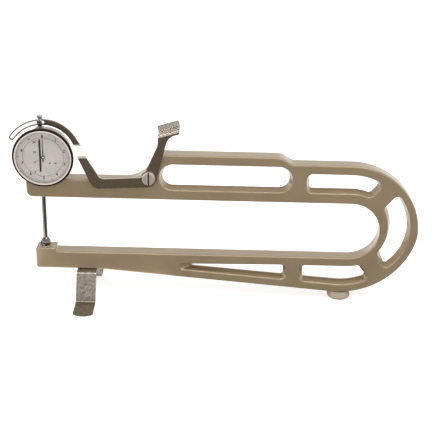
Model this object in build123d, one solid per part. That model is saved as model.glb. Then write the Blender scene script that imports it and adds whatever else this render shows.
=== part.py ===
from build123d import *
from math import acos, asin, atan2, cos, degrees, pi, radians, sin, sqrt, tan
import os

# Deep-throat dial thickness gauge, millimetres. X runs from the spindle towards the rear bend,
# Y away from the viewer and Z up. The origin is the middle of the anvil face, on the spindle axis.

# Scales and counts
dial_travel = 10.0              # spindle travel in one turn of the pointer
dial_marks = 100
pinion_teeth = 12
wheel_teeth = 48

# Fits shared by the whole gauge
run_gap = 0.05                  # radial clearance of a shaft in its hole
seat_gap = 0.05                 # radial clearance of a part seated for good
air_gap = 0.3                   # flat clearance between a fixed and a moving part
overrun = 1.0                   # how far a cutter runs past the face that it cuts

# Spindle, contact tip and travel
spindle_r = 2.1
travel = 30.0
tip_foot_r = 5.0
tip_height = 8.2
tip_rim = 1.0
tip_stud_r = 1.2
tip_stud_length = 4.0
button_r = 2.8
button_height = 2.2
button_stud_r = 0.8
button_stud_length = 1.8
button_relief = 1.1             # height cut flush with the flat, which the lever's edge sweeps past
flat_depth = 0.8                # depth of the flat that the lever slides on
marker_r = 0.45
marker_z = 81.8
marker_root = 1.2               # length of the marker inside the spindle
closed_gap = 0.02               # left between tip and anvil at rest
tip_mid_r = 4.2
tip_mid_z = 5.4
flat_half = 6.5

# Cast frame
frame_t = 15.2
throat_gap = 53.7               # lower arm's anvil face to the upper arm's underside
throat_depth = 325.0            # spindle axis to the end of the throat
lower_top = 3.9                 # how far the lower arm's top lies below the anvil face
lower_bottom = 21.9             # and its underside, at the free end
lower_end = 9.0
boss_end = 10.8
boss_drop = 0.3
taper_start = 54.2
heel_z = -41.0
heel_back = 13.7               # heel's start, before the throat's centre
knuckle_r = 39.8
knuckle_angle = 15.3
bend_wall = 39.1               # thickness of the bend between the throat and the crown
crown_back = 1.7               # crown's centre, before the throat's centre
crown_top = 92.4
grip_top = 99.3
grip_end_x = 223.0
step_length = 19.0
sweep_start_x = 78.0
sweep_r = 30.0
shoulder_z = 72.9
upper_end = 15.0
upper_corner_r = 6.0
frame_edge_r = 1.4
end_corner_r = 4.0

# Openings in the frame
opening_draft = 3.0             # how much each opening narrows to the mould's parting plane
grip_slot_back = 3.8            # slot's start, past the foot of the grip
grip_web = 13.0
grip_slot_wall = 10.0
grip_slot_top_wall = 9.1
window_x = 251.9
window_wall = 10.2
window_top_wall = 8.7
window_side_r = 6.0
window_tip_wall = 10.0          # the window's far corner, inside the crown
window_tip_angle = 57.6
web_angle = 50.0
arc_outer_wall = 7.6
arc_inner_wall = 7.6
arc_inset = 13.6                # crescent's arcs against the throat's and the crown's radius
arc_rise = 3.5
arc_top_wall = 11.9
arc_top_angle = 39.3
arc_low_wall = 8.5
arc_low_turn = 40.65            # the crescent's lower corner, below the throat's middle
arc_low_angle = 67.0
arc_corner_r = 5.2
lower_wall = 8.0
lower_window_x = 249.8
lower_window_wall = 8.6
lower_tip_reach = 13.3          # window's far corner, past the throat's centre
lower_tip_angle = 52.0
wedge_x1 = 131.6
wedge_drop1 = 13.9
wedge_drop2 = 12.4
wedge_small_r = 3.0
wedge_large_r = 6.0
wedge_web = 13.1
wedge_shut = 12.0               # length of the wedge's tip that is closed at the parting plane
wedge_shut_r = 1.0

# Gauge head
head_x = 2.8
head_z = 95.4
head_r = 24.8
rim_rise = 1.3                  # how far the head's rim stands in front of the arm
cavity_r = 22.2
ledge_r = 17.8
ledge_t = 2.6
cover_r = 23.5
cover_t = 1.5
cover_recess = 1.4
stem_boss_r = 5.2
stem_boss_rise = 1.2

# Bezel, crystal and dial
bezel_r = 29.0
bezel_front = 5.3               # bezel's front edge, ahead of the arm
bezel_skirt_r = 27.7
bezel_sight_r = 25.7
bezel_crown_r = 27.4
bezel_glass_r = 26.6
bezel_lip_depth = 1.2
crystal_t = 1.0
spacer_t = 1.1
spacer_w = 0.8
ring_t = 0.4
ring_inner_r = 19.2
dial_r = 19.0
dial_t = 0.7
counter_half_w = 0.75
counter_over = 0.7
plate_t = 1.0
plate_r = 22.0
wire_t = 0.4
wire_split = 2.0

# Movement
movement_depth = 10.5           # between the two plates
pillar_r = 1.4
pillar_ring_r = 18.6
arbor_r = 0.6
pinion_length = 3.4
tooth_share = 0.40
wheel_t = 0.8
wheel_angle = -20.0
collar_r = 1.3
coil_strip = 0.25
coil_height = 1.5
coil_inner_r = 1.5
coil_pitch = 1.0
coil_turns = 3
screw_r = 0.8
screw_head_r = 1.5
screw_head_t = 0.8
small_slot_w = 0.4
hub_r = 1.7
hub_t = 0.7
pointer_t = 0.25
pointer_tip_r = 22.0
pointer_tail = 4.5
pointer_half_w = 0.45

hub_boss_r = 1.0
hub_cap_t = 0.25
collar_t = 1.0
post_r = 0.5
screw_count = 3
pillar_first_angle = 45.0
cover_first_angle = 105.0
cover_screw_ring_r = 20.6
cover_screw_length = 2.2        # thread length inside the ledge
movement_screw_length = 3.5     # thread length inside a pillar
dial_foot_ring_r = 14.0
dial_foot_angle = 20.0
flank_angle = 20.0
rack_low_z = 62.0
rack_high_z = 100.0

# Bushes
bush_r = 2.95
bush_lip_r = 3.2
bush_lip_t = 0.9

# Lifting lever
lever_t = 2.0
lever_washer_t = 0.7
pivot_z = 76.5
lever_rise = 86.7               # spindle travel for one radian of the lever
lift_z = 128.4
lift_pin_r = 0.7
lift_head_r = 2.5
lift_head_t = 1.6
lift_thread_length = 2.2
band_centre_z = 92.2
band_mid_r = 35.7
band_half_w = 2.65
band_slot_half = 1.55
band_slot_x1 = -26.8
band_slot_x2 = 2.9
lever_upper_front = 3.5         # front face of the lever's upper part, ahead of the spindle axis
joggle_low_z = 96.1
joggle_high_z = 106.0
joggle_r = 2.2
strut_angle = 59.0
inner_strut_angle = 66.0
lobe_r = 8.1
lever_screw_r = 6.2
lever_screw_t = 2.6
lever_screw_shank_r = 3.0
lever_screw_thread_r = 2.0
lever_screw_thread = 9.0
slot_w = 1.3
slot_depth = 1.1
thumb_depth = 12.0
lip_height = 5.6
thumb_bend_r = 0.8
lip_lean = 35.0                 # how far the lip leans back
thumb_angle = 17.6              # slope of the thumb flange
thumb_w = 21.0
lever_split_x = 60.0            # the sheet is flat to the right of this line
lever_reach = 99.2              # pivot to the head's centre line, which the sheet's outline follows
# Corners of the lever's lower part from its pivot, with their radii, as shares of that reach
lever_corner_shares = [
    (-0.4597, -0.0207, 0.0605), (-0.0565, 0.0050, 0.0605), (0.0887, 0.3377, 0.2016),
    (0.0887, 0.4335, 0.0081), (0.3024, 0.5010, 0.0222), (0.2883, 0.4496, 0.0202),
    (0.1845, 0.4244, 0.1210), (0.0565, -0.0882, 0.0907), (-0.5323, -0.1200, 0.0907)]

# Feet
strap_x = 31.4
strap_w = 19.2
strap_t = 1.3
strap_flat = 14.4
strap_knee = 28.4
strap_reach = 55.5
stand_z = -49.1
strap_bend_r = 3.0
foot_back = 5.9                 # rear foot, before the throat's centre
foot_r = 11.3
foot_edge_r = 2.8
foot_top_r = 9.6
foot_screw_r = 2.0
foot_seat_depth = 3.4           # counterbore for the foot's screw head
strap_end_rise = 4.0            # how far the strap's end arcs stand out
strap_screw_r = 2.0
strap_screw_head_r = 3.6
strap_screw_head_t = 2.2
foot_screw_length = 7.0          # thread length inside the frame

# Anvil
anvil_r = 5.0
anvil_t = 6.0

# Places worked out from the sizes above
front_y = -frame_t / 2
back_y = frame_t / 2
upper_under = throat_gap
throat_r = (throat_gap + lower_top) / 2
throat_z = (throat_gap - lower_top) / 2
throat_x = throat_depth - throat_r
heel_x = throat_x - heel_back
crown_x = throat_x - crown_back
crown_r = throat_r + bend_wall
crown_z = crown_top - crown_r
window_tip_x = crown_x + (crown_r - window_tip_wall) * cos(radians(window_tip_angle))
window_tip_z = crown_z + (crown_r - window_tip_wall) * sin(radians(window_tip_angle))
arc_outer_r = crown_r - arc_inset
arc_inner_r = throat_r + arc_inset
arc_z = crown_z + arc_rise
arc_top_x = throat_x + (throat_r + arc_top_wall) * cos(radians(arc_top_angle))
arc_top_z = throat_z + (throat_r + arc_top_wall) * sin(radians(arc_top_angle))
arc_low_x = throat_x + (throat_r + arc_low_wall) * cos(radians(arc_low_turn))
arc_low_z = throat_z - (throat_r + arc_low_wall) * sin(radians(arc_low_turn))
lower_tip_x = throat_x + lower_tip_reach
wedge_x2 = lower_window_x - wedge_web
grip_slot_x2 = window_x - grip_web
foot_x = throat_x - foot_back
taper = (heel_z + lower_bottom) / (heel_x - taper_start)
pitch_module = dial_travel / (pi * pinion_teeth)
tooth_pitch = pi * pitch_module
pinion_r = pitch_module * pinion_teeth / 2
wheel_r = pitch_module * wheel_teeth / 2
addendum = pitch_module
dedendum = pitch_module * 5 / 4
rim_y = front_y - rim_rise
plate_front_y = rim_y
plate_back_y = plate_front_y + plate_t
back_plate_y = plate_back_y + movement_depth
ledge_y = back_plate_y + plate_t
cover_y = back_y - cover_recess
dial_back_y = plate_front_y
dial_front_y = dial_back_y - dial_t
ring_front_y = dial_front_y
ring_back_y = ring_front_y + ring_t
spacer_front_y = ring_front_y - spacer_t
glass_front_y = spacer_front_y - crystal_t
bezel_front_y = front_y - bezel_front
bezel_back_y = front_y - air_gap
skirt_r = head_r + 2 * run_gap
wheel_x = head_x + (pinion_r + wheel_r) * cos(radians(wheel_angle))
wheel_z = head_z + (pinion_r + wheel_r) * sin(radians(wheel_angle))
rack_x = head_x - pinion_r
pivot_x = head_x + lever_reach
thumb_x = pivot_x + lever_reach * lever_corner_shares[3][0]
thumb_z = pivot_z + lever_reach * lever_corner_shares[3][1]
lever_front_y = front_y - lever_washer_t - lever_t
lever_back_y = front_y - lever_washer_t
lever_upper_back = lever_upper_front - lever_t
tip_top_z = tip_height
flat_y = -(spindle_r - flat_depth)
button_z = lift_z + lift_head_r + air_gap * 2
grip_start_x = sweep_start_x + sqrt(sweep_r**2 - (sweep_r - grip_top + shoulder_z) ** 2)
grip_slot_x1 = grip_start_x + grip_slot_back
knuckle_x = crown_x + crown_r - knuckle_r
knuckle_end_x = knuckle_x + knuckle_r * cos(radians(knuckle_angle))
knuckle_end_z = crown_z - knuckle_r * sin(radians(knuckle_angle))
chord_x = knuckle_end_x - heel_x
chord_z = knuckle_end_z - heel_z
heel_r = (chord_x**2 + chord_z**2) / 2 / (
    chord_x * cos(radians(knuckle_angle)) - chord_z * sin(radians(knuckle_angle)))
heel_arc_x = knuckle_end_x - heel_r * cos(radians(knuckle_angle))
heel_arc_z = knuckle_end_z + heel_r * sin(radians(knuckle_angle))
foot_top_z = heel_arc_z - heel_r - closed_gap
foot_seat_z = stand_z + foot_seat_depth
boss_top_z = head_z + head_r + stem_boss_rise
wire_inner_r = head_r - seat_gap
wire_y = rim_y + wire_t + seat_gap
lever_thread_y = front_y + lever_screw_thread
marker_root_y = -spindle_r + marker_root
marker_front_y = dial_front_y - 2 * seat_gap
screw_tip_y = back_plate_y - movement_screw_length
cover_thread_y = cover_y - cover_screw_length
coil_near_y = wheel_t / 2 + 2 * seat_gap + air_gap
post_shift = coil_inner_r + coil_pitch * coil_turns + post_r + seat_gap + coil_strip
post_x = wheel_x + post_shift
pointer_front_y = dial_front_y - air_gap * 2 - seat_gap


def front_block(sketch, near_y, far_y):
    """A flat front-view outline, drawn in X and Z, made solid from near_y back to far_y."""
    return extrude(Plane.XZ.offset(-far_y) * sketch, amount=far_y - near_y)


def turned_z(points):
    """A closed outline of radius and height, turned about the Z axis."""
    return revolve(Plane.XZ * make_face(Polyline(*points, close=True)), Axis.Z)


def turned_y(points, x, z):
    """A closed outline of radius and depth, turned about the line through x and z along Y."""
    return Pos(x, 0, z) * revolve(make_face(Polyline(*points, close=True)), Axis.Y)


def rod_y(radius, near_y, far_y, x, z):
    """A plain round bar along Y."""
    return turned_y([(0, near_y), (radius, near_y), (radius, far_y), (0, far_y)], x, z)


def ring_y(inner, outer, near_y, far_y, x, z):
    """A plain round ring along Y."""
    return turned_y([(inner, near_y), (outer, near_y), (outer, far_y), (inner, far_y)], x, z)


def polar(x, z, radius, angle):
    """The point at an angle in degrees on a circle in the front view."""
    return (x + radius * cos(radians(angle)), z + radius * sin(radians(angle)))


def slotted_head(radius, near_y, thickness, x, z, width, depth, angle=90):
    """A round screw head facing the viewer, with a straight slot across it."""
    head = rod_y(radius, near_y, near_y + thickness, x, z)
    rim = head.edges().group_by(Axis.Y)[0]
    head = fillet(rim, min(thickness, radius) / 3)
    groove = Rot(0, 0, angle) * Rectangle(2 * (radius + overrun), width)
    groove = front_block(Pos(x, z) * groove, near_y - overrun, near_y + depth)
    return head - groove


def rounded(points, radii):
    """A closed outline through the points, each corner rounded to its own radius."""
    edges = []
    starts = []
    ends = []
    middles = []
    count = len(points)
    for i in range(count):
        before = Vector(*points[i - 1])
        here = Vector(*points[i])
        after = Vector(*points[(i + 1) % count])
        into = (here - before).normalized()
        out = (after - here).normalized()
        turn = atan2(into.X * out.Y - into.Y * out.X, into.dot(out))
        reach = radii[i] * tan(abs(turn) / 2)
        side = Vector(-into.Y, into.X) * (1 if turn > 0 else -1)
        start = here - into * reach
        centre = start + side * radii[i]
        starts.append(start)
        ends.append(here + out * reach)
        middles.append(centre + (here - centre).normalized() * radii[i] if radii[i] > 0 else here)
    for i in range(count):
        edges.append(Line(ends[i - 1], starts[i]).edge())
        if radii[i] > 0:
            edges.append(ThreePointArc(starts[i], middles[i], ends[i]).edge())
    return make_face(Wire(edges))


def bent_strip(points, thickness, inner_r):
    """The edge view of a sheet bent along the points, its thickness to their left, or right if negative."""
    offset = []
    radii = []
    offset_radii = []
    last = len(points) - 1
    for i in range(last + 1):
        here = Vector(*points[i])
        into = (here - Vector(*points[i - 1])).normalized() if i > 0 else None
        out = (Vector(*points[i + 1]) - here).normalized() if i < last else None
        into = into or out
        out = out or into
        turn = atan2(into.X * out.Y - into.Y * out.X, into.dot(out))
        normal = Vector(-into.Y - out.Y, into.X + out.X).normalized()
        offset.append(here + normal * (thickness / cos(turn / 2)))
        ended = i in (0, last)
        outer_r = inner_r + abs(thickness)
        outside = (turn > 0) == (thickness > 0)
        radii.append(0 if ended else outer_r if outside else inner_r)
        offset_radii.append(0 if ended else inner_r if outside else outer_r)
    loop = [(p[0], p[1]) for p in points] + [(p.X, p.Y) for p in reversed(offset)]
    return rounded(loop, radii + offset_radii[::-1])


def disc(x, z, radius):
    """A round face in the front view."""
    return Pos(x, z) * Circle(radius)


def below(x, z, angle):
    """Everything on the lower side of a sloping line in the front view."""
    return Pos(x, z) * (Rot(0, 0, angle) * (Pos(0, -throat_depth) * Rectangle(
        2 * throat_depth, 2 * throat_depth)))


def round_corner(face, x, z, radius):
    """One corner of a flat outline rounded."""
    return fillet(face.vertices().sort_by_distance(Vector(x, z))[0], radius)


def opening_cutter(face, radius):
    """A cutter through the frame for one opening, its sharp corners rounded."""
    body = front_block(face, front_y - overrun, back_y + overrun)
    outline = body.faces().sort_by(Axis.Y)[0].edges()
    sharp = []
    for upright in body.edges().filter_by(Axis.Y):
        corner = min(upright @ 0, upright @ 1, key=lambda point: point.Y)
        ways = []
        for edge in outline:
            if (edge @ 0 - corner).length < closed_gap:
                ways.append(edge % 0)
            elif (edge @ 1 - corner).length < closed_gap:
                ways.append(edge % 1)
        if len(ways) > 1 and ways[0].cross(ways[1]).length > sin(radians(flank_angle / 2)):
            sharp.append(upright)
    return fillet(sharp, radius)


def drafted_cutter(face, radius):
    """A cutter for one opening, narrowed from both sides to the mould's parting plane."""
    body = opening_cutter(face, radius) if radius else front_block(face, front_y - overrun, back_y + overrun)
    outline = Pos(0, overrun, 0) * body.faces().sort_by(Axis.Y)[0]
    draft = degrees(atan2(opening_draft, frame_t / 2))
    near = extrude(outline, amount=frame_t / 2, dir=(0, 1, 0), taper=draft)
    mouth = extrude(outline, amount=overrun, dir=(0, -1, 0))
    near = near + mouth
    return near + mirror(near, Plane.XZ)


def frame_outline():
    """The outer edge of the cast frame with its two arms, as seen from the front."""
    line = Polyline(
        (-lower_end, -lower_bottom), (-lower_end, -boss_drop),
        (boss_end, -boss_drop), (boss_end, -lower_top), (throat_x, -lower_top))
    bend = ThreePointArc(line @ 1, (throat_depth, throat_z), (throat_x, upper_under))
    under = Line(bend @ 1, (-upper_end + upper_corner_r, upper_under))
    nose = ThreePointArc(
        under @ 1,
        polar(-upper_end + upper_corner_r, upper_under + upper_corner_r, upper_corner_r, 225),
        (-upper_end, upper_under + upper_corner_r))
    shoulder = Polyline(nose @ 1, (-upper_end, head_z - head_r / 2), (head_x, head_z - head_r / 2),
                        (head_x, shoulder_z), (sweep_start_x, shoulder_z))
    sweep = ThreePointArc(shoulder @ 1, polar(sweep_start_x, shoulder_z + sweep_r, sweep_r, -48),
                          (grip_start_x, grip_top))
    grip = Line(sweep @ 1, (grip_end_x, grip_top))
    step = Spline(grip @ 1, (grip_end_x + step_length, crown_top),
                  tangents=[(1, 0), (1, 0)])
    top = Line(step @ 1, (crown_x, crown_top))
    crown = ThreePointArc(top @ 1, polar(crown_x, crown_z, crown_r, 45), (crown_x + crown_r, crown_z))
    knuckle = ThreePointArc(
        crown @ 1, polar(knuckle_x, crown_z, knuckle_r, -knuckle_angle / 2),
        (knuckle_end_x, knuckle_end_z))
    heel_mid = (heel_arc_x + knuckle_end_x) / 2
    heel = ThreePointArc(
        knuckle @ 1,
        (heel_mid, heel_arc_z - sqrt(heel_r**2 - (heel_mid - heel_arc_x) ** 2)),
        (heel_x, heel_z))
    taper_line = Line(heel @ 1, (taper_start, -lower_bottom))
    close_line = Line(taper_line @ 1, line @ 0)
    face = make_face(Wire([*line.edges(), bend.edge(), under.edge(), nose.edge(), *shoulder.edges(),
                           sweep.edge(), grip.edge(), step.edge(), top.edge(), crown.edge(),
                           knuckle.edge(), heel.edge(), taper_line.edge(), close_line.edge()]))
    face = round_corner(face, grip_start_x, grip_top, end_corner_r)
    face = round_corner(face, -lower_end, -boss_drop, end_corner_r / 2)
    face = round_corner(face, -lower_end, -lower_bottom, end_corner_r / 2)
    return round_corner(face, boss_end, -lower_top, frame_edge_r)


def grip_opening():
    """The long hand slot in the upper arm."""
    low = upper_under + grip_slot_wall
    high = grip_top - grip_slot_top_wall
    slot = SlotOverall(grip_slot_x2 - grip_slot_x1, high - low)
    slot = Pos((grip_slot_x1 + grip_slot_x2) / 2, (low + high) / 2) * slot
    return drafted_cutter(slot, 0)


def upper_opening():
    """The window in the upper arm that follows the throat and the crown."""
    low = upper_under + window_wall
    high = crown_top - window_top_wall
    left = Pos((window_x + crown_x) / 2, (low + high) / 2) * Rectangle(crown_x - window_x, high - low)
    reach = crown_r - window_top_wall
    right = disc(crown_x, crown_z, reach) & (
        Pos(crown_x + reach / 2, crown_z + reach / 2) * Rectangle(reach, reach))
    face = left + right - disc(throat_x, throat_z, throat_r + window_wall)
    face -= Pos(throat_x - window_wall, low - window_wall) * Rectangle(2 * window_wall, 2 * window_wall)
    face -= below(window_tip_x, window_tip_z, web_angle)
    return drafted_cutter(face, window_side_r)


def rear_opening():
    """The crescent in the rear bend."""
    outer = disc(crown_x + crown_r - arc_outer_wall - arc_outer_r, arc_z, arc_outer_r)
    inner = disc(throat_depth + arc_inner_wall - arc_inner_r, arc_z, arc_inner_r)
    right = Pos(throat_x + arc_outer_r, arc_z) * Rectangle(2 * arc_outer_r, 4 * arc_outer_r)
    face = (outer - inner) & right & below(arc_top_x, arc_top_z, web_angle)
    face -= below(arc_low_x, arc_low_z, -arc_low_angle)
    return drafted_cutter(face, arc_corner_r)


def lower_opening():
    """The window in the lower arm beside the heel."""
    top = -lower_top - lower_window_wall
    floor_left = taper_z(lower_window_x) + lower_wall
    reach = heel_r - lower_wall
    floor_right = heel_arc_z - sqrt(reach**2 - (heel_x - heel_arc_x) ** 2)
    left = make_face(Polyline(
        (lower_window_x, top), (lower_window_x, floor_left), (heel_x, floor_right), (heel_x, top),
        close=True))
    right = disc(heel_arc_x, heel_arc_z, reach) & (
        Pos(heel_x + heel_r / 2, heel_arc_z - heel_r / 2) * Rectangle(heel_r, heel_r))
    right -= Pos((heel_x + throat_x) / 2, top + heel_r / 2) * Rectangle(throat_x - heel_x, heel_r)
    face = left + right - disc(throat_x, throat_z, throat_r + lower_window_wall)
    face -= Pos(lower_tip_x, -lower_top - lower_window_wall + overrun) * (
        Rot(0, 0, -lower_tip_angle) * (Pos(0, heel_r) * Rectangle(4 * heel_r, 2 * heel_r)))
    return drafted_cutter(face, window_side_r)


def wedge_opening():
    """The long tapering slot in the lower arm, its tip shut at the parting plane."""
    shut_x1 = wedge_x1 + wedge_shut
    shut_x2 = wedge_x2 - opening_draft
    drop = wedge_drop2 - wedge_drop1
    length = wedge_x2 - wedge_x1
    top1 = wedge_drop1 + drop * wedge_shut / length + opening_draft
    top2 = wedge_drop2 - drop * opening_draft / length + opening_draft
    mouth = rounded(
        [(wedge_x1, -wedge_drop1), (wedge_x1, taper_z(wedge_x1) + lower_wall),
         (wedge_x2, taper_z(wedge_x2) + lower_wall), (wedge_x2, -wedge_drop2)],
        [wedge_small_r, wedge_small_r, wedge_large_r, wedge_large_r])
    waist = rounded(
        [(shut_x1, -top1), (shut_x1, min(taper_z(shut_x1) + lower_wall + opening_draft, -top1 - 2 * wedge_shut_r)),
         (shut_x2, taper_z(shut_x2) + lower_wall + opening_draft), (shut_x2, -top2)],
        [wedge_shut_r, wedge_shut_r, wedge_small_r, wedge_small_r])
    near = loft([Plane.XZ.offset(-front_y) * mouth, Plane.XZ * waist], ruled=True)
    near = near + front_block(mouth, front_y - overrun, front_y)
    return near + mirror(near, Plane.XZ)


def taper_z(x):
    """Height of the lower arm's sloping underside at a place along it."""
    return -lower_bottom + taper * (x - taper_start)


def ring_places(count, first_angle):
    """Places of screws or pillars spread evenly round the head."""
    return [polar(head_x, head_z, pillar_ring_r, first_angle + i * 360 / count) for i in range(count)]


def cover_places():
    """Places of the screws that hold the back cover."""
    return [polar(head_x, head_z, cover_screw_ring_r, cover_first_angle + i * 360 / screw_count)
            for i in range(screw_count)]


def make_frame():
    """Cast frame with its openings, the gauge head's cavity and every bore."""
    body = front_block(frame_outline(), front_y, back_y)
    for opening in (grip_opening(), upper_opening(), rear_opening(), lower_opening(), wedge_opening()):
        body -= opening
    flats = body.edges().filter_by_position(Axis.Y, front_y, front_y)
    flats += body.edges().filter_by_position(Axis.Y, back_y, back_y)
    body = fillet(flats, frame_edge_r)
    head = rod_y(head_r, rim_y, back_y, head_x, head_z)
    head = fillet(head.edges().group_by(Axis.Y)[-1], frame_edge_r)
    boss = Pos(0, 0, (head_z + boss_top_z) / 2) * Cylinder(stem_boss_r, boss_top_z - head_z)
    boss = fillet(boss.edges().group_by(Axis.Z)[-1], frame_edge_r / 2)
    body = body + head + boss
    body -= rod_y(cavity_r, rim_y - overrun, back_plate_y + plate_t, head_x, head_z)
    body -= rod_y(ledge_r, rim_y, back_y, head_x, head_z)
    body -= rod_y(cover_r + seat_gap * 2, cover_y, back_y + overrun, head_x, head_z)
    groove_near = wire_y - wire_t / 2 - seat_gap
    groove_far = wire_y + wire_t / 2 + seat_gap
    body -= ring_y(wire_inner_r - seat_gap, head_r + overrun, groove_near, groove_far, head_x, head_z) & (
        ring_y(wire_inner_r - seat_gap, head_r + wire_t, groove_near, groove_far, head_x, head_z))
    body -= Pos(0, 0, (upper_under + head_z) / 2) * Cylinder(bush_r + seat_gap, head_z - upper_under)
    body -= Pos(0, 0, (head_z + boss_top_z + overrun) / 2) * Cylinder(
        bush_r + seat_gap, boss_top_z + overrun - head_z)
    body -= Pos(0, 0, -anvil_t / 2) * Cylinder(anvil_r + seat_gap, anvil_t)
    body -= rod_y(lever_screw_thread_r + seat_gap, front_y - overrun, lever_thread_y + air_gap,
                  pivot_x, pivot_z)
    for place in ring_places(screw_count, pillar_first_angle):
        body -= rod_y(screw_r + seat_gap, ledge_y - overrun, cover_y, *place)
        body -= rod_y(screw_head_r + seat_gap, cover_y - screw_head_t - seat_gap, cover_y, *place)
    for place in cover_places():
        body -= rod_y(screw_r + seat_gap, cover_thread_y - air_gap, back_y, *place)
    body -= Pos(strap_x + strap_w / 2, 0, -lower_bottom + foot_screw_length / 2) * Cylinder(
        strap_screw_r + seat_gap, foot_screw_length + air_gap)
    body -= Pos(foot_x, 0, foot_top_z + foot_screw_length / 2) * Cylinder(
        foot_screw_r + seat_gap, foot_screw_length + air_gap)
    return body


def make_anvil():
    """Hard round anvil set into the end of the lower arm."""
    disc_body = Pos(0, 0, -anvil_t / 2) * Cylinder(anvil_r, anvil_t)
    return chamfer(disc_body.edges().group_by(Axis.Z)[-1], air_gap)


def make_lower_bush():
    """Guide bush of the spindle in the upper arm, with its lip below the arm."""
    top = head_z - cavity_r - air_gap
    bore = spindle_r + run_gap
    return turned_z([(bore, upper_under - bush_lip_t), (bush_lip_r, upper_under - bush_lip_t),
                     (bush_lip_r, upper_under), (bush_r, upper_under), (bush_r, top), (bore, top)])


def make_upper_bush():
    """Guide bush of the spindle in the head's top boss."""
    low = head_z + cavity_r
    bore = spindle_r + run_gap
    return turned_z([(bore, low), (bush_r, low), (bush_r, boss_top_z), (bush_lip_r, boss_top_z),
                     (bush_lip_r, boss_top_z + bush_lip_t), (bore, boss_top_z + bush_lip_t)])


def make_spindle():
    """Measuring spindle with its rack, the flat for the lever and its screw holes."""
    body = Pos(0, 0, (tip_height + button_z) / 2) * Cylinder(spindle_r, button_z - tip_height)
    body -= Pos(0, 0, tip_height) * Cylinder(tip_stud_r + seat_gap, 2 * (tip_stud_length + air_gap))
    body -= Pos(0, 0, button_z) * Cylinder(button_stud_r + seat_gap, 2 * (button_stud_length + seat_gap))
    flat_low = lift_z - flat_half
    body -= Pos(0, flat_y - spindle_r, (flat_low + button_z + overrun) / 2) * Box(
        4 * spindle_r, 2 * spindle_r, button_z + overrun - flat_low)
    body -= rod_y(lift_pin_r + seat_gap, flat_y - spindle_r, flat_y + lift_thread_length + seat_gap, 0, lift_z)
    body -= rod_y(marker_r + seat_gap, -spindle_r - overrun, marker_root_y + seat_gap, 0, marker_z)
    crest_x = rack_x + addendum
    root_x = rack_x - dedendum
    body -= Pos(crest_x + spindle_r, 0, (rack_low_z + rack_high_z) / 2) * Box(
        2 * spindle_r, 2 * spindle_r + overrun, rack_high_z - rack_low_z)
    half_gap = tooth_pitch * (1 - tooth_share) / 2
    gap_root = half_gap - dedendum * tan(radians(flank_angle))
    gap_crest = half_gap + addendum * tan(radians(flank_angle))
    first = int((rack_low_z - head_z) / tooth_pitch) + 1
    last = int((rack_high_z - head_z) / tooth_pitch) - 1
    gaps = Sketch()
    for i in range(first, last + 1):
        z = head_z + i * tooth_pitch
        gaps += make_face(Polyline(
            (root_x, z - gap_root), (crest_x + seat_gap, z - gap_crest),
            (crest_x + seat_gap, z + gap_crest), (root_x, z + gap_root), close=True))
    return body - front_block(gaps, -2 * spindle_r, 2 * spindle_r)


def make_contact_tip():
    """Bell-shaped contact tip with its stud."""
    outline = [
        Line((0, closed_gap), (tip_foot_r - air_gap, closed_gap)),
        Line((tip_foot_r - air_gap, closed_gap), (tip_foot_r, closed_gap + air_gap)),
        Line((tip_foot_r, closed_gap + air_gap), (tip_foot_r, tip_rim)),
        ThreePointArc((tip_foot_r, tip_rim), (tip_mid_r, tip_mid_z), (spindle_r, tip_height)),
        Line((spindle_r, tip_height), (tip_stud_r, tip_height)),
        Line((tip_stud_r, tip_height), (tip_stud_r, tip_height + tip_stud_length)),
        Line((tip_stud_r, tip_height + tip_stud_length), (0, tip_height + tip_stud_length)),
        Line((0, tip_height + tip_stud_length), (0, closed_gap))]
    return revolve(Plane.XZ * make_face(Wire([piece.edge() for piece in outline])), Axis.Z)


def make_top_button():
    """Button that closes the top of the spindle."""
    head = turned_z([(0, button_z), (button_r, button_z), (button_r, button_z + button_height),
                     (0, button_z + button_height)])
    head = fillet(head.edges().group_by(Axis.Z)[-1], button_height / 3)
    head -= Pos(0, flat_y - button_r, button_z + button_relief / 2) * Box(
        4 * button_r, 2 * button_r, button_relief)
    return head + Pos(0, 0, button_z - button_stud_length / 2) * Cylinder(button_stud_r, button_stud_length)


def make_counter_marker():
    """Pin on the spindle whose end shows in the dial's slot."""
    return rod_y(marker_r, marker_front_y, marker_root_y, 0, marker_z)


def make_lift_screw():
    """Slotted screw on the spindle that the lever's slot lifts."""
    near = -lever_upper_front - air_gap - lift_head_t
    head = slotted_head(lift_head_r, near, lift_head_t, 0, lift_z, slot_w / 2, slot_depth / 2, 90)
    return head + rod_y(lift_pin_r, near + lift_head_t, flat_y + lift_thread_length, 0, lift_z)


def arc_band(inner, outer, x, z, start, end):
    """A piece of a flat ring between two angles."""
    far = 2 * outer
    count = 8
    fan = [(x, z)] + [polar(x, z, far, start + (end - start) * i / count) for i in range(count + 1)]
    return (disc(x, z, outer) - disc(x, z, inner)) & make_face(Polyline(*fan, close=True))


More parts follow.
